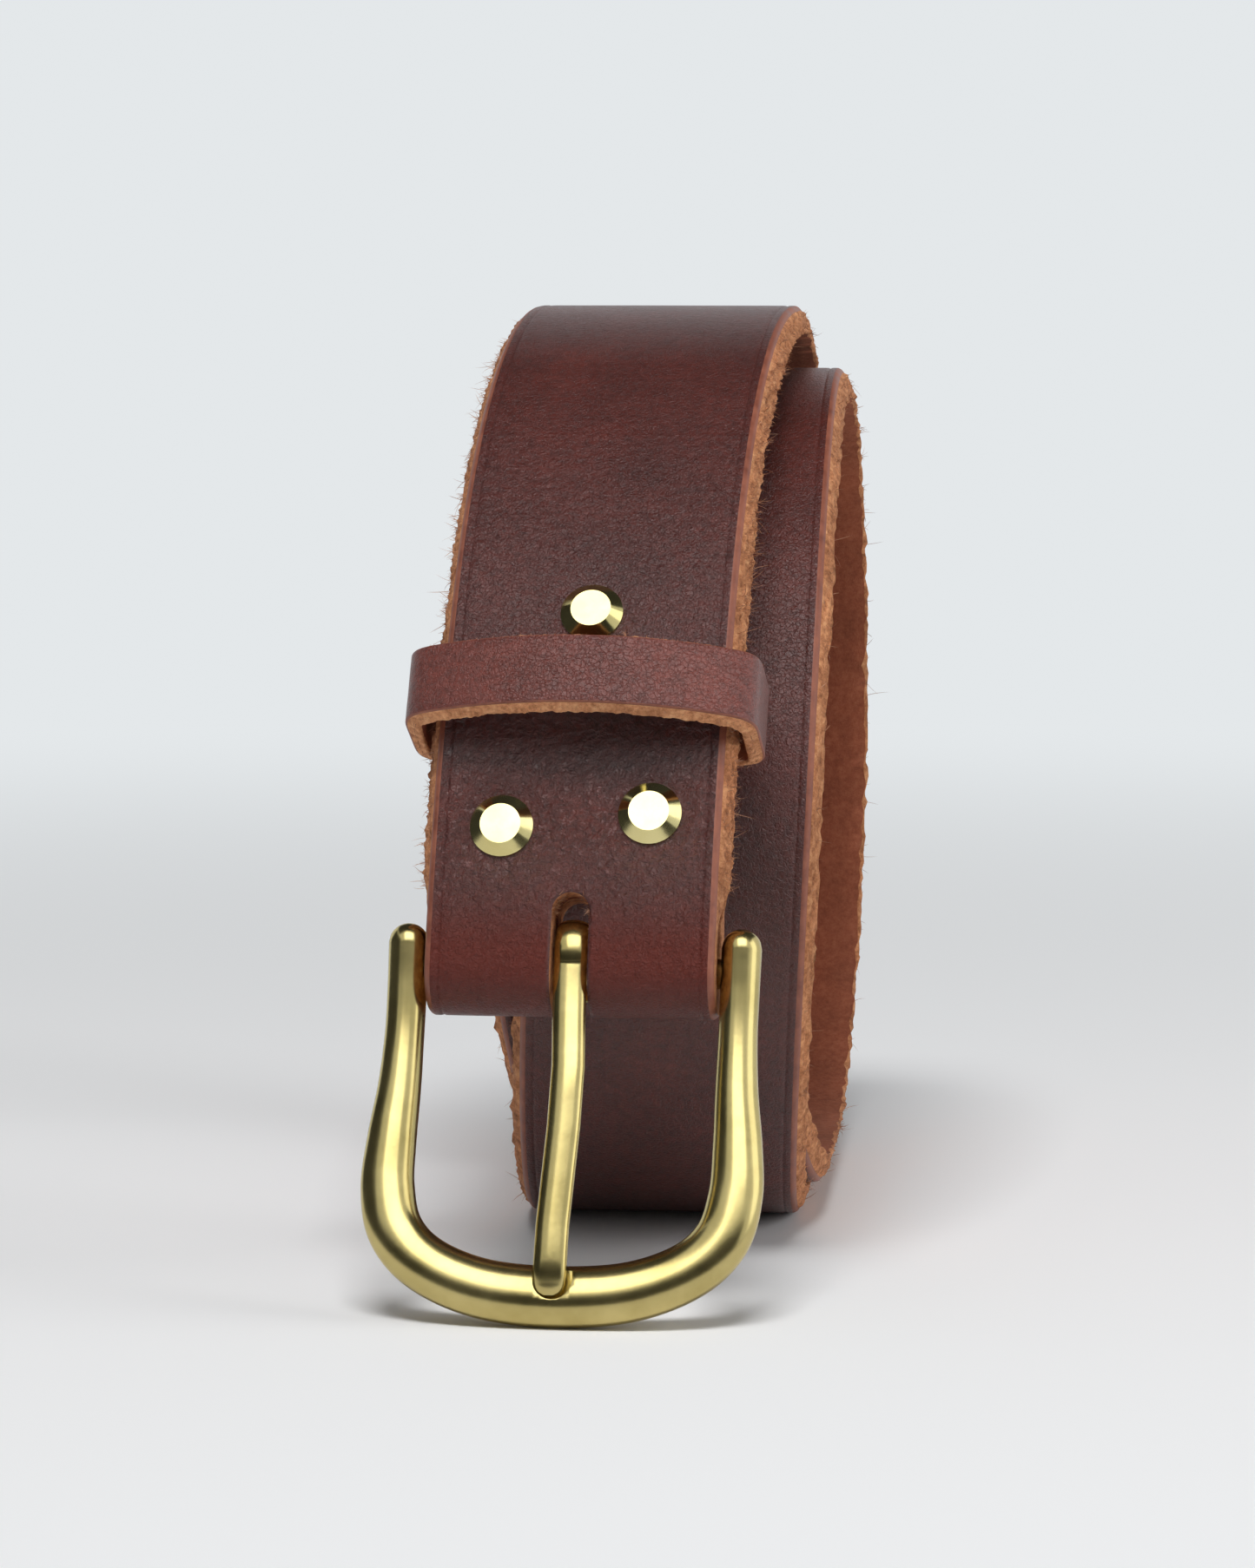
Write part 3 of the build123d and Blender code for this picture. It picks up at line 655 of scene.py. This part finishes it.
strap_grain = grain_leather(
    "strap_grain", (0.070, 0.012, 0.008), (0.105, 0.018, 0.012), (0.175, 0.029, 0.017), weighted=True)
keeper_grain = grain_leather(
    "keeper_grain", (0.13, 0.024, 0.015), (0.18, 0.034, 0.021), (0.25, 0.052, 0.031))
bevel = burnished_edge("burnished_bevel", (0.17, 0.045, 0.026), (0.30, 0.095, 0.052))
raw = fibrous_leather(
    "raw_edge", (0.22, 0.072, 0.030), (0.58, 0.230, 0.098), (0.84, 0.42, 0.20), 700.0, 0.8)
# painted light: a lighter copy of raw_edge for the keeper's cut edges, which lie in shade
keeper_raw_painted_light = fibrous_leather(
    "keeper_raw_edge", (0.34, 0.125, 0.055), (0.66, 0.29, 0.135), (0.88, 0.48, 0.25), 800.0, 0.6)
flesh = fibrous_leather(
    "flesh_side", (0.22, 0.060, 0.029), (0.29, 0.084, 0.041), (0.36, 0.115, 0.057), 950.0, 0.2)
fibre = burnished_edge("loose_fibre", (0.30, 0.12, 0.06), (0.52, 0.26, 0.14))
cast_brass = brass("satin_brass", (0.45, 0.36, 0.135), (0.58, 0.475, 0.20), 0.22, 0.03, 0.008)
rivet_brass = brass("polished_brass", (0.60, 0.505, 0.20), (0.72, 0.63, 0.30), 0.14, 0.02, 0.005)
steel = drawn_wire("drawn_steel")
LEATHERS = (strap_grain, bevel, raw, flesh)


# ======== strap ========
GRAIN, BEVEL, RAW, FLESH = 0, 1, 2, 3


def strap_section():
    """Half section, from the middle of the grain side round the edge to the middle of the flesh:
    (across, height, kind), with the edge's groove, bevel and corners."""
    half, top = WIDTH / 2, THICK / 2
    rows = [(float(x), top, GRAIN) for x in range(17)]
    groove = [(2.55, 0), (2.25, 0.01), (2.1, 0.07), (1.95, 0.15), (1.8, 0.07), (1.6, 0), (1.2, 0),
              (0.9, 0.01)]
    rows += [(half - inset, top - depth, GRAIN) for inset, depth in groove]
    slant = [(0.66, 0.07), (0.42, 0.22), (0.22, 0.44), (0.08, 0.72)]
    rows += [(half - inset, top - depth, BEVEL) for inset, depth in slant]
    rows += [(half, top - 1.0 - 0.4 * k, RAW) for k in range(7)]
    rows += [(half - 0.05, 0.3 - top, RAW), (half - 0.2, 0.1 - top, RAW), (half - 0.5, -top, RAW)]
    rows += [(x, -top, FLESH) for x in (17.5, 15.5, 13.0, 10.0, 7.0, 3.5, 0.0)]
    return rows


def full_section(half_rows):
    """Whole section from a half: places, heights and kinds of points, and kinds of strips."""
    last = len(half_rows) - 1
    order = list(range(last + 1)) + list(range(last - 1, 0, -1))
    side = [1.0] * (last + 1) + [-1.0] * (last - 1)
    x = np.array([half_rows[k][0] for k in order]) * np.array(side)
    n = np.array([half_rows[k][1] for k in order])
    kind = np.array([half_rows[k][2] for k in order])
    strips = [half_rows[min(k, 2 * last - 1 - k) + 1][2] for k in range(len(order))]
    return x, n, kind, np.array(strips)


def dent(above_bar, x):
    """How far the leather is pressed in round the rivets."""
    depth = 0.0
    for along, across in RIVETS:
        away = math.hypot(above_bar - along, x - across)
        if away < 3 * CAP_RADIUS:
            beyond = max(0.0, away - CAP_RADIUS)
            depth += DENT * math.exp(-((beyond / DENT_SPREAD) ** 2))
    return depth


def reach_from_bar(point):
    """Distance of a point from the bar's axis."""
    return math.hypot(point[1] - BAR[1], point[2] - BAR[2])


def make_strap():
    """Skin of the whole strap, with slot and holes cut, and weights for creases and fold."""
    centres, across, outward, above = LINE
    x, n, kind, strips = full_section(strap_section())
    length = above[-1]
    half = np.ones(len(above))
    into_tip = (above - (length - TIP_LENGTH)) / TIP_LENGTH
    tip = into_tip > 0
    half[tip] = np.sqrt(np.maximum(1 - into_tip[tip] ** 2, TIP_NARROWEST))
    rings = np.zeros((len(above), len(x), 3))
    for i in range(len(above)):
        at_legs = float(np.clip(1 - (reach_from_bar(centres[i]) - LEG_CLEARANCE) / LEG_FADE, 0, 1))
        for j in range(len(x)):
            place = (x[j] * half[i], above[i], n[j] * 3 + (100 if x[j] > 0 else 0))
            out, push = n[j], 0.0
            if kind[j] == GRAIN:
                out += rough((x[j], above[i], 7.0), GRAIN_WAVY) - dent(above[i], x[j])
            elif kind[j] == FLESH:
                out += rough(place, FLESH_NAP)
            elif kind[j] == RAW:
                ragged = rough(place, EDGE_RAGGED) + rough(place, EDGE_FINE)
                flare = EDGE_FLARE * (THICK / 2 - n[j]) / THICK
                push = (ragged + flare + rough(place, EDGE_WAVY)) * (1 - at_legs) - EDGE_TRIM
                out += rough(place, EDGE_PITTED)
            side = math.copysign(1.0, x[j])
            sideways = x[j] * half[i] + side * push
            rings[i, j] = centres[i] + across[i] * sideways + outward[i] * out
    strap = skin("strap_leather_skin", rings, strips, RAW)
    middle, reach, share = FAINT_CRUMPLE
    crumple = np.clip(1 - np.abs(above - CRUMPLE[0]) / CRUMPLE[1], 0, 1)
    crumple = crumple + share * (np.abs(above - middle) < reach)
    # painted light: this weight reddens the grain at the fold and lowers its shine
    fold = np.exp(-(((above - FOLD_GLOW[0]) / FOLD_GLOW[1]) ** 2))
    for label, values in (("crumple", crumple), ("fold", fold)):
        attribute = strap.data.attributes.new(label, "FLOAT", "POINT")
        attribute.data.foreach_set("value", np.repeat(values, len(x)).astype(np.float32))
    dress(strap, *LEATHERS)
    tools = strap_cutters()
    dress(tools, *LEATHERS)
    combine(strap, "DIFFERENCE", tools)
    return strap


def strap_cutters():
    """The prong slot, the adjusting holes and the rivets' shank holes as one tool."""
    _, side, up, _ = front_place(0.01, 0, 0)
    half = SLOT_WIDTH / 2
    round_top = SLOT_ABOVE - half
    arc = [math.pi * k / 20 for k in range(21)]
    outline = [(half * math.cos(a), round_top + half * math.sin(a)) for a in arc]
    outline += [(-half, -SLOT_BELOW), (half, -SLOT_BELOW)]
    tools = [prism("slot_tool", outline, BAR, side, up, -SLOT_DEPTH, SLOT_DEPTH, RAW)]
    centres, across, outward, above = LINE
    for number in range(HOLES):
        i = int(np.searchsorted(above, above[-1] - FIRST_HOLE - number * HOLE_PITCH))
        ahead = np.cross(outward[i], across[i])
        tools.append(prism(f"hole_tool_{number}", circle(HOLE_RADIUS), centres[i], across[i], ahead,
                           -HOLE_DEPTH, HOLE_DEPTH, RAW))
    for along, place in RIVETS:
        point, side, up, _ = front_place(along, place, 0)
        tools.append(prism("shank_tool", circle(SHANK_RADIUS + SHANK_GAP), point, side, up,
                           SHANK_BACK, SHANK_FRONT, RAW))
    return join("strap_tools", tools)


# ======== fibres ========
def hairs(name, specs):
    """Thin tapered, bent fibres as one mesh, from (root, direction, bend, length, radius)."""
    verts, faces = [], []
    levels, sides = 4, 3
    for root, direction, bend, length, radius in specs:
        direction = unit(direction)
        aside = unit(np.cross(direction, [0.31, 0.52, 0.79]))
        other = np.cross(direction, aside)
        base = len(verts)
        for level in range(levels):
            t = level / levels
            centre = root + direction * length * t + bend * length * t * t
            thin = radius * (1 - 0.6 * t)
            for k in range(sides):
                turn = 2 * math.pi * k / sides
                verts.append((centre + thin * (math.cos(turn) * aside + math.sin(turn) * other)) * MM)
        verts.append((root + direction * length + bend * length) * MM)
        faces.append([base + 2, base + 1, base])
        for level in range(levels - 1):
            for k in range(sides):
                a, b = base + level * sides + k, base + level * sides + (k + 1) % sides
                faces.append([a, b, b + sides, a + sides])
        last = base + (levels - 1) * sides
        for k in range(sides):
            faces.append([last + k, last + (k + 1) % sides, base + levels * sides])
    mesh = bpy.data.meshes.new(name)
    mesh.from_pydata([tuple(v) for v in verts], [], faces)
    mesh.update()
    return new_object(name, mesh)


def scatter(draw, spread):
    return np.array([draw.gauss(0, spread) for _ in range(3)])


def tuft(draw, root, direction, spread, count, length):
    """A few fibres that start close together."""
    specs = []
    for _ in range(count):
        shift = scatter(draw, spread)
        lean = direction + scatter(draw, 0.45)
        bend = scatter(draw, 0.35)
        specs.append((root + shift, lean, bend, length * draw.uniform(0.5, 1.2), draw.uniform(*TUFT_RADII)))
    return specs


def edge_fibres():
    """Loose fibres along the strap's raw edges, thickest on the front run."""
    draw = random.Random(11)
    centres, across, outward, above = LINE
    specs = []
    for _ in range(EDGE_FIBRES):
        if draw.random() < FRONT_SHARE:
            distance = draw.uniform(above[0], FRONT_END)
        else:
            distance = draw.uniform(FRONT_END, above[-1] - BARE_TIP)
        i = int(np.searchsorted(above, distance))
        reach = reach_from_bar(centres[i])
        if reach < BARE_FOLD and distance < FRONT_END:
            continue
        side = draw.choice((-1.0, 1.0))
        height = draw.uniform(-THICK / 2 + 0.1, THICK / 2 - 1.0)
        spread = EDGE_FLARE * (THICK / 2 - height) / THICK
        root = centres[i] + across[i] * side * (WIDTH / 2 - 0.2 + spread) + outward[i] * height
        lean = across[i] * side * draw.uniform(0.3, 1.0) + scatter(draw, 0.4)
        bend = scatter(draw, 0.4)
        length = min(draw.expovariate(1 / 0.55) + 0.35, 2.2)
        if distance < FRONT_END and SWEPT[0] < reach - KEEPER_AT < SWEPT[1]:
            length = min(length, SWEPT_LENGTH)
        specs.append((root, lean, bend, length, draw.uniform(*EDGE_RADII)))
        if draw.random() < 0.05:
            specs += tuft(draw, root, across[i] * side, 0.15, 6, 1.0)
    for along, side in TUFTS:
        point, x_dir, _, _ = front_place(along, side * WIDTH / 2, -0.5)
        specs += tuft(draw, point, x_dir * side, 0.35, 14, 1.5)
    return hairs("strap_edge_fibres", specs)


def slot_fibres():
    """Loose fibres on the walls of the prong slot."""
    draw = random.Random(5)
    specs = []
    for _ in range(SLOT_FIBRES):
        along = draw.uniform(2.5, SLOT_ABOVE - 0.3)
        side = draw.choice((-1.0, 1.0))
        reach = SLOT_WIDTH / 2
        into_top = along - SLOT_ABOVE + SLOT_WIDTH / 2
        if into_top > 0:
            reach = math.sqrt(max(0.05, reach ** 2 - into_top ** 2))
        depth = draw.uniform(-1.6, 1.9)
        point, x_dir, _, normal = front_place(along, side * (reach + 0.1), depth)
        lean = -x_dir * side + scatter(draw, 0.5) + 0.4 * normal
        bend = scatter(draw, 0.4)
        length = draw.uniform(*(SHORT_FIBRES if along < PRONG_CLEAR else LONG_FIBRES))
        specs.append((point, lean, bend, length, draw.uniform(*SLOT_RADII)))
    return hairs("slot_fibres", specs)


# ======== keeper ========
def keeper_outline(out):
    """Closed line of the loop, out from its inner face: (across, outward), from the back's middle."""
    half = KEEPER_HALF + out
    crown = KEEPER_RISE + out
    back = -KEEPER_BACK - out
    sag = crown - KEEPER_SPRING
    radius = (half ** 2 + sag ** 2) / (2 * sag)
    reach = math.asin(half / radius)
    turns = np.linspace(reach, -reach, 300)[1:-1]
    line = [(0.0, back), (half, back), (half, KEEPER_SPRING)]
    line += [(radius * math.sin(a), crown - radius + radius * math.cos(a)) for a in turns]
    line += [(-half, KEEPER_SPRING), (-half, back), (0.0, back)]
    line = np.array(line)
    runs = np.concatenate([[0], np.cumsum(np.linalg.norm(np.diff(line, axis=0), axis=1))])
    even = np.linspace(0, runs[-1], KEEPER_POINTS, endpoint=False)
    dense = np.stack([np.interp(even, runs, line[:, k]) for k in range(2)], -1)
    window = int(KEEPER_ROUNDING / (runs[-1] / KEEPER_POINTS)) | 1
    weights = np.hanning(window + 2)[1:-1]
    weights = weights / weights.sum()
    rounded = np.zeros_like(dense)
    for k, weight in enumerate(weights):
        rounded += weight * np.roll(dense, window // 2 - k, axis=0)
    return rounded


def keeper_section():
    """Half section across the loop's length: (along, out from the middle, kind)."""
    half, top = KEEPER_LENGTH / 2, KEEPER_THICK / 2
    rows = [(k * 0.7, top, GRAIN) for k in range(7)]
    rows += [(half - 0.62, top, GRAIN), (half - 0.50, top - 0.08, BEVEL), (half - 0.42, top - 0.28, BEVEL)]
    rows += [(half - 0.42 + 0.13 * k, top - 0.28 - 0.26 * k, RAW) for k in range(1, 7)]
    rows += [(half + 0.26, 0.08 - top, RAW), (half - 0.1, -top, RAW)]
    rows += [(x, -top, FLESH) for x in (4.0, 3.0, 2.0, 1.0, 0.0)]
    return rows


def make_keeper():
    """Skin of the loop, its joint in the middle of the back."""
    x, n, kind, strips = full_section(keeper_section())
    line = keeper_outline(KEEPER_THICK / 2)
    spot, side, up, normal = front_place(KEEPER_AT, 0, THICK / 2)
    steps = list(range(3, len(line) - 2, 3))
    rings = np.zeros((len(steps), len(x), 3))
    for row, k in enumerate(steps):
        tangent = unit(line[(k + 2) % len(line)] - line[k - 2])
        out = np.array([tangent[1], -tangent[0]])
        for j in range(len(x)):
            place = (line[k][0], line[k][1], x[j] * 3 + n[j])
            grow, along = n[j], x[j]
            if kind[j] == RAW:
                ragged = rough(place, KEEPER_RAGGED) + rough(place, KEEPER_FINE)
                along += math.copysign(1, x[j]) * (ragged - KEEPER_TRIM)
                grow += rough(place, KEEPER_PITTED)
            elif kind[j] == FLESH:
                grow += rough(place, KEEPER_NAP)
            else:
                grow += rough(place, KEEPER_WAVY)
            flat = line[k] + grow * out
            rings[row, j] = spot + flat[0] * side + flat[1] * normal + along * up
    return skin("keeper_leather_skin", rings, strips, RAW)


def keeper_fibres():
    """Fibres on the loop's cut edges, with the tufts that stand out."""
    draw = random.Random(23)
    line = keeper_outline(KEEPER_THICK / 2)
    spot, side, up, normal = front_place(KEEPER_AT, 0, THICK / 2)
    specs = []
    for _ in range(KEEPER_FIBRES):
        k = draw.randrange(150, len(line) - 150)
        end = draw.choice((-1.0, -1.0, 1.0))
        flat = line[k]
        inward = draw.uniform(-1.0, 0.3)
        point = spot + flat[0] * side + (flat[1] + inward) * normal + end * (KEEPER_LENGTH / 2 - 0.1) * up
        lean = end * up + scatter(draw, 0.5)
        bend = scatter(draw, 0.4)
        specs.append((point, lean, bend, draw.uniform(0.15, 0.5), draw.uniform(*KEEPER_RADII)))
    crown = KEEPER_RISE + KEEPER_THICK / 2
    top = spot + 6.0 * side + (crown - 0.4) * normal + KEEPER_LENGTH / 2 * up
    specs += tuft(draw, top, up + 0.3 * normal, 0.1, 9, 0.9)
    right = spot + (KEEPER_HALF + KEEPER_THICK - 0.3) * side + (KEEPER_LENGTH / 2 - 0.6) * up
    specs += tuft(draw, right, side, 0.1, 5, 0.7)
    return hairs("keeper_fibres", specs)


# ======== buckle ========
def frame_axes():
    """Directions of the buckle's plane: across, up the frame, out of its front."""
    reach, depth = FRAME_DROP - FRAME_ROUND, FRAME_THICK / 2 - FRAME_ROUND
    slope = math.asin((BAR[2] - FRAME_ROUND) / math.hypot(reach, depth)) - math.atan2(depth, reach)
    up = np.array([0, math.cos(slope), math.sin(slope)])
    return np.array([1.0, 0, 0]), up, np.cross([1.0, 0, 0], up)


SIDE, FRAME_UP, FRAME_OUT = frame_axes()


def oval(width, thick, front, back, count=36):
    """Section with its own fullness in front and behind."""
    points = []
    for k in range(count):
        a = 2 * math.pi * (k + 0.5) / count
        power = 2 / (front if math.sin(a) > 0 else back)
        across = math.copysign(abs(math.cos(a)) ** power, math.cos(a))
        out = math.copysign(abs(math.sin(a)) ** power, math.sin(a))
        points.append((width / 2 * across, thick / 2 * out))
    return points


def frame_rings(drop_more):
    """Sections along the frame from one knob to the other."""
    rows = smooth_rows(FRAME_ROWS + [(d, -a, w, t, h) for d, a, w, t, h in reversed(FRAME_ROWS[:-1])],
                       FRAME_STEPS)
    rows[:, 0] += drop_more * np.clip(rows[:, 0] / FRAME_ROWS[-1][0], 0, 1) ** 2
    tangents = unit(np.gradient(rows[:, :2], axis=0))
    rings = []
    last = len(rows) - 1
    caps = [math.pi / 2 * k / KNOB_STEPS for k in range(KNOB_STEPS, 1, -1)]
    order = [(0, a) for a in caps] + [(k, 0.0) for k in range(last + 1)] + [(last, a) for a in caps[::-1]]
    for k, bulge in order:
        down, across, width, thick, lift = rows[k]
        tangent = tangents[k]
        size = max(math.cos(bulge), KNOB_SMALLEST)
        ahead = (-1 if k == 0 else 1) * width / 2 * math.sin(bulge)
        down, across = down + ahead * tangent[0], across + ahead * tangent[1]
        inward = np.array([-tangent[1], tangent[0]])
        ring = []
        for x, h in oval(width * size, thick * size, *FRAME_FULLNESS):
            d, a = down + x * inward[0], across + x * inward[1]
            ring.append(BAR + a * SIDE - d * FRAME_UP + (h + lift) * FRAME_OUT)
        rings.append(ring)
    return np.array(rings)


def make_frame():
    """The casting: rim, legs and knobs, brought down until it stands on the floor, with bar and seat."""
    hang = 0.0
    for _ in range(3):
        hang += frame_rings(hang)[:, :, 2].min() / FRAME_UP[2]
    body = skin("buckle_frame_cast", frame_rings(hang))
    bar = prism("bar_tool", circle(BAR_RADIUS, 48), BAR, FRAME_UP, FRAME_OUT, -BAR_HALF, BAR_HALF)
    combine(body, "UNION", bar)
    half = SEAT_WIDTH / 2
    arc = [math.pi * k / 12 for k in range(13)]
    outline = [(half * math.cos(a), -SEAT_END + half - half * math.sin(a)) for a in arc]
    outline += [(-half, -SEAT_START), (half, -SEAT_START)]
    seat = prism("seat_tool", outline, BAR, SIDE, FRAME_UP, FRAME_THICK / 2 - SEAT_DEPTH, FRAME_THICK)
    combine(body, "DIFFERENCE", seat)
    finish_edges(body)
    return body


def finish_edges(body):
    """Small rounding on hard edges, and smooth shading."""
    worn = body.modifiers.new("worn_edges", "BEVEL")
    worn.width = WORN_EDGE * MM
    worn.segments = 2
    worn.limit_method = "ANGLE"
    worn.angle_limit = math.radians(40)
    body.data.polygons.foreach_set("use_smooth", np.ones(len(body.data.polygons), bool))


def make_prong():
    """The prong: a loop rolled round the bar and a blade that runs down to the rim."""
    middle = BAR_RADIUS + BAR_GAP + PRONG_THICK / 2
    rows = []
    for angle in np.linspace(PRONG_LOOP_END, 90.0, PRONG_LOOP_STEPS)[:-1]:
        a = math.radians(angle)
        reach = middle + PRONG_LOOP_RISE * math.exp(-(((angle - PRONG_RISE_AT) / PRONG_RISE_SPREAD) ** 2))
        rows.append((-reach * math.cos(a), reach * math.sin(a), PRONG_WIDTH, PRONG_THICK))
    rows = np.vstack([rows, smooth_rows(BLADE_ROWS, BLADE_STEPS)])
    tangents = unit(np.gradient(rows[:, :2], axis=0))
    rings = []
    for (down, out, width, thick), tangent in zip(rows, tangents):
        normal = np.array([-tangent[1], tangent[0]])
        sway = 0.0 if out < 0 else float(np.interp(down, *zip(*PRONG_SWAY)))
        ring = []
        for x, h in oval(width, thick, *PRONG_FULLNESS, 32):
            d, o = down + h * normal[0], out + h * normal[1]
            ring.append(BAR + (x + sway) * SIDE - d * FRAME_UP + o * FRAME_OUT)
        rings.append(ring)
    return skin("prong_cast", np.array(rings))


# ======== build ========
# The strap's materials go on before its Boolean, which keeps each face's material by its index.
strap = make_strap()
strap_fuzz = edge_fibres()
slot_fuzz = slot_fibres()
keeper = make_keeper()
keeper_fuzz = keeper_fibres()
buckle = make_frame()
prong = make_prong()

dress(keeper, keeper_grain, bevel, keeper_raw_painted_light, flesh)
for fuzz in (strap_fuzz, slot_fuzz, keeper_fuzz):
    dress(fuzz, fibre)
for casting in (buckle, prong):
    dress(casting, cast_brass)
for name, node in frame["nodes"].items():
    if name.startswith("rivet_"):
        dress(node, rivet_brass)
dress(frame["nodes"]["keeper_staple"], steel)

for piece, node, slot in (
    (strap, "strap", "strap_leather"),
    (keeper, "keeper_loop", "keeper_leather"),
    (buckle, "buckle_frame", "cast_brass"),
    (prong, "prong", "cast_brass"),
):
    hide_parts(node)
for piece in (strap, strap_fuzz, slot_fuzz):
    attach(piece, "strap")
for piece in (keeper, keeper_fuzz):
    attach(piece, "keeper")
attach(buckle, "buckle")
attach(prong, "prong")


# ======== stage, in metres ========
SOFT_FILL = 0.22             # light from the studio's walls, as a share of what the camera sees
FLOOR_SIZE = 28.0
FLOOR_FADE = (0.12, 0.75)    # distances between which the floor turns into evenly lit paper
SHELL_RINGS = [(-2.0, 15.0), (6.0, 15.0), (14.0, 8.0), (16.0, 1.0)]  # (height, radius)
SHELL_SIDES = 48
SENSOR = 36.0
LENS = 129.57
CAMERA_FROM = (8.25, 5.97)   # azimuth and elevation, in degrees
CAMERA_DISTANCE = 0.7395
AIM_FROM_BAR = (0.0070, 0.0, 0.0249)


def plate(name, width, height):
    mesh = bpy.data.meshes.new(name)
    w, h = width / 2, height / 2
    mesh.from_pydata([(-w, -h, 0), (w, -h, 0), (w, h, 0), (-w, h, 0)], [], [(0, 1, 2, 3)])
    return new_object(name, mesh)


def bearing(azimuth, elevation):
    """Direction from the belt, in degrees counted as for a view."""
    a, e = math.radians(azimuth), math.radians(elevation)
    return Vector((math.sin(a) * math.cos(e), -math.cos(a) * math.cos(e), math.sin(e)))


def facing(direction):
    return direction.to_track_quat("Z", "Y").to_euler()


def make_floor():
    """Pale paper that takes shadows near the belt and fades into the backdrop."""
    floor = plate("floor", FLOOR_SIZE, FLOOR_SIZE)
    made = Recipe("pale_sweep")
    paper = {"Base Color": (0.94, 0.943, 0.95), "Roughness": 1.0, "Specular IOR Level": 0.0}
    dress(floor, made.surface(paper))
    away = made.add("VectorMath", "Value", {0: made.where()}, operation="LENGTH")
    start, end = FLOOR_FADE
    fade = made.add("MapRange", "Result", {"From Min": start, "From Max": end, "Value": away},
                    interpolation_type="SMOOTHSTEP")
    inputs = {"Fac": fade, 1: made.shader.outputs["BSDF"], 2: made.glow()}
    made.show(made.add("MixShader", "Shader", inputs))


def make_card(name, centre, width, height, normal):
    """Dark card that shows only in reflections, as the unlit part of a studio does."""
    card = plate(name, width, height)
    card.location = centre
    card.rotation_euler = facing(Vector(normal))
    dress(card, Recipe(name + "_cloth").surface({"Base Color": (0.03, 0.03, 0.03), "Roughness": 1.0}))
    for rays in ("camera", "diffuse", "shadow", "transmission"):
        setattr(card, "visible_" + rays, False)


def make_backdrop():
    """Pale shell all round that lights nothing and casts no shadow."""
    n = SHELL_SIDES
    verts = [(x, y, height) for height, reach in SHELL_RINGS for x, y in circle(reach, n)]
    faces = [(r * n + k, r * n + (k + 1) % n, (r + 1) * n + (k + 1) % n, (r + 1) * n + k)
             for r in range(len(SHELL_RINGS) - 1) for k in range(n)]
    faces.append(tuple(range(len(verts) - n, len(verts))))
    mesh = bpy.data.meshes.new("backdrop")
    mesh.from_pydata(verts, [], faces)
    shell = new_object("backdrop", mesh)
    made = Recipe("pale_paper")
    made.show(made.glow())
    dress(shell, made.material)
    shell.visible_diffuse = False
    shell.visible_shadow = False


def make_softbox(name, azimuth, elevation, distance, width, height, radiance):
    """Area light aimed at the middle of the belt."""
    data = bpy.data.lights.new(name, "AREA")
    data.shape = "RECTANGLE"
    data.size, data.size_y = width, height
    data.energy = radiance * math.pi * width * height
    light = new_object(name, data)
    back = bearing(azimuth, elevation)
    light.location = (cad_low + cad_high) / 2 + back * distance
    light.rotation_euler = facing(back)
    light.visible_camera = False
    return light


def make_world():
    """Soft light from all round; the camera sees it as bright as the backdrop."""
    world = bpy.data.worlds.new("pale_studio")
    world.use_nodes = True
    nodes, links = world.node_tree.nodes, world.node_tree.links
    nodes["Background"].inputs["Color"].default_value = (*PALE, 1.0)
    strength = nodes.new("ShaderNodeMath")
    strength.operation = "MULTIPLY_ADD"
    links.new(nodes.new("ShaderNodeLightPath").outputs["Is Camera Ray"], strength.inputs[0])
    strength.inputs[1].default_value = 1.0 - SOFT_FILL
    strength.inputs[2].default_value = SOFT_FILL
    links.new(strength.outputs[0], nodes["Background"].inputs["Strength"])
    bpy.context.scene.world = world


def make_camera():
    data = bpy.data.cameras.new("camera")
    data.sensor_width = SENSOR
    data.lens = LENS
    data.clip_start, data.clip_end = 0.01, 100.0
    camera = new_object("camera", data)
    back = bearing(*CAMERA_FROM)
    camera.location = Vector(BAR * MM) + Vector(AIM_FROM_BAR) + back * CAMERA_DISTANCE
    camera.rotation_euler = facing(back)
    bpy.context.scene.camera = camera


make_floor()
make_backdrop()
make_world()
# (name, azimuth, elevation, distance, width, height, radiance)
make_softbox("front_softbox", 10.0, 52.0, 1.3, 1.1, 0.92, 2.7).visible_diffuse = False
make_softbox("right_softbox", 84.0, 20.0, 1.2, 0.7, 0.8, 1.2)
make_softbox("side_light", 84.0, 20.0, 1.2, 0.7, 0.8, 1.6).visible_glossy = False
make_softbox("key_light", 2.0, 66.0, 1.4, 0.62, 0.42, 15.5).visible_glossy = False
# (name, centre, width, height, way it faces)
make_card("room_behind_camera", (0.0, -1.45, 0.36), 3.4, 0.72, (0, 1, 0))
make_card("table_end", (0.0, -0.89, 0.003), 3.4, 1.4, (0, 0, 1))
make_card("ceiling", (0.0, 1.02, 1.25), 2.6, 2.9, (0, 0, -1))
make_card("room_left", (-1.3, -0.4, 0.55), 2.0, 1.1, (1, 0, 0))
bpy.context.scene.view_settings.view_transform = "Standard"
make_camera()
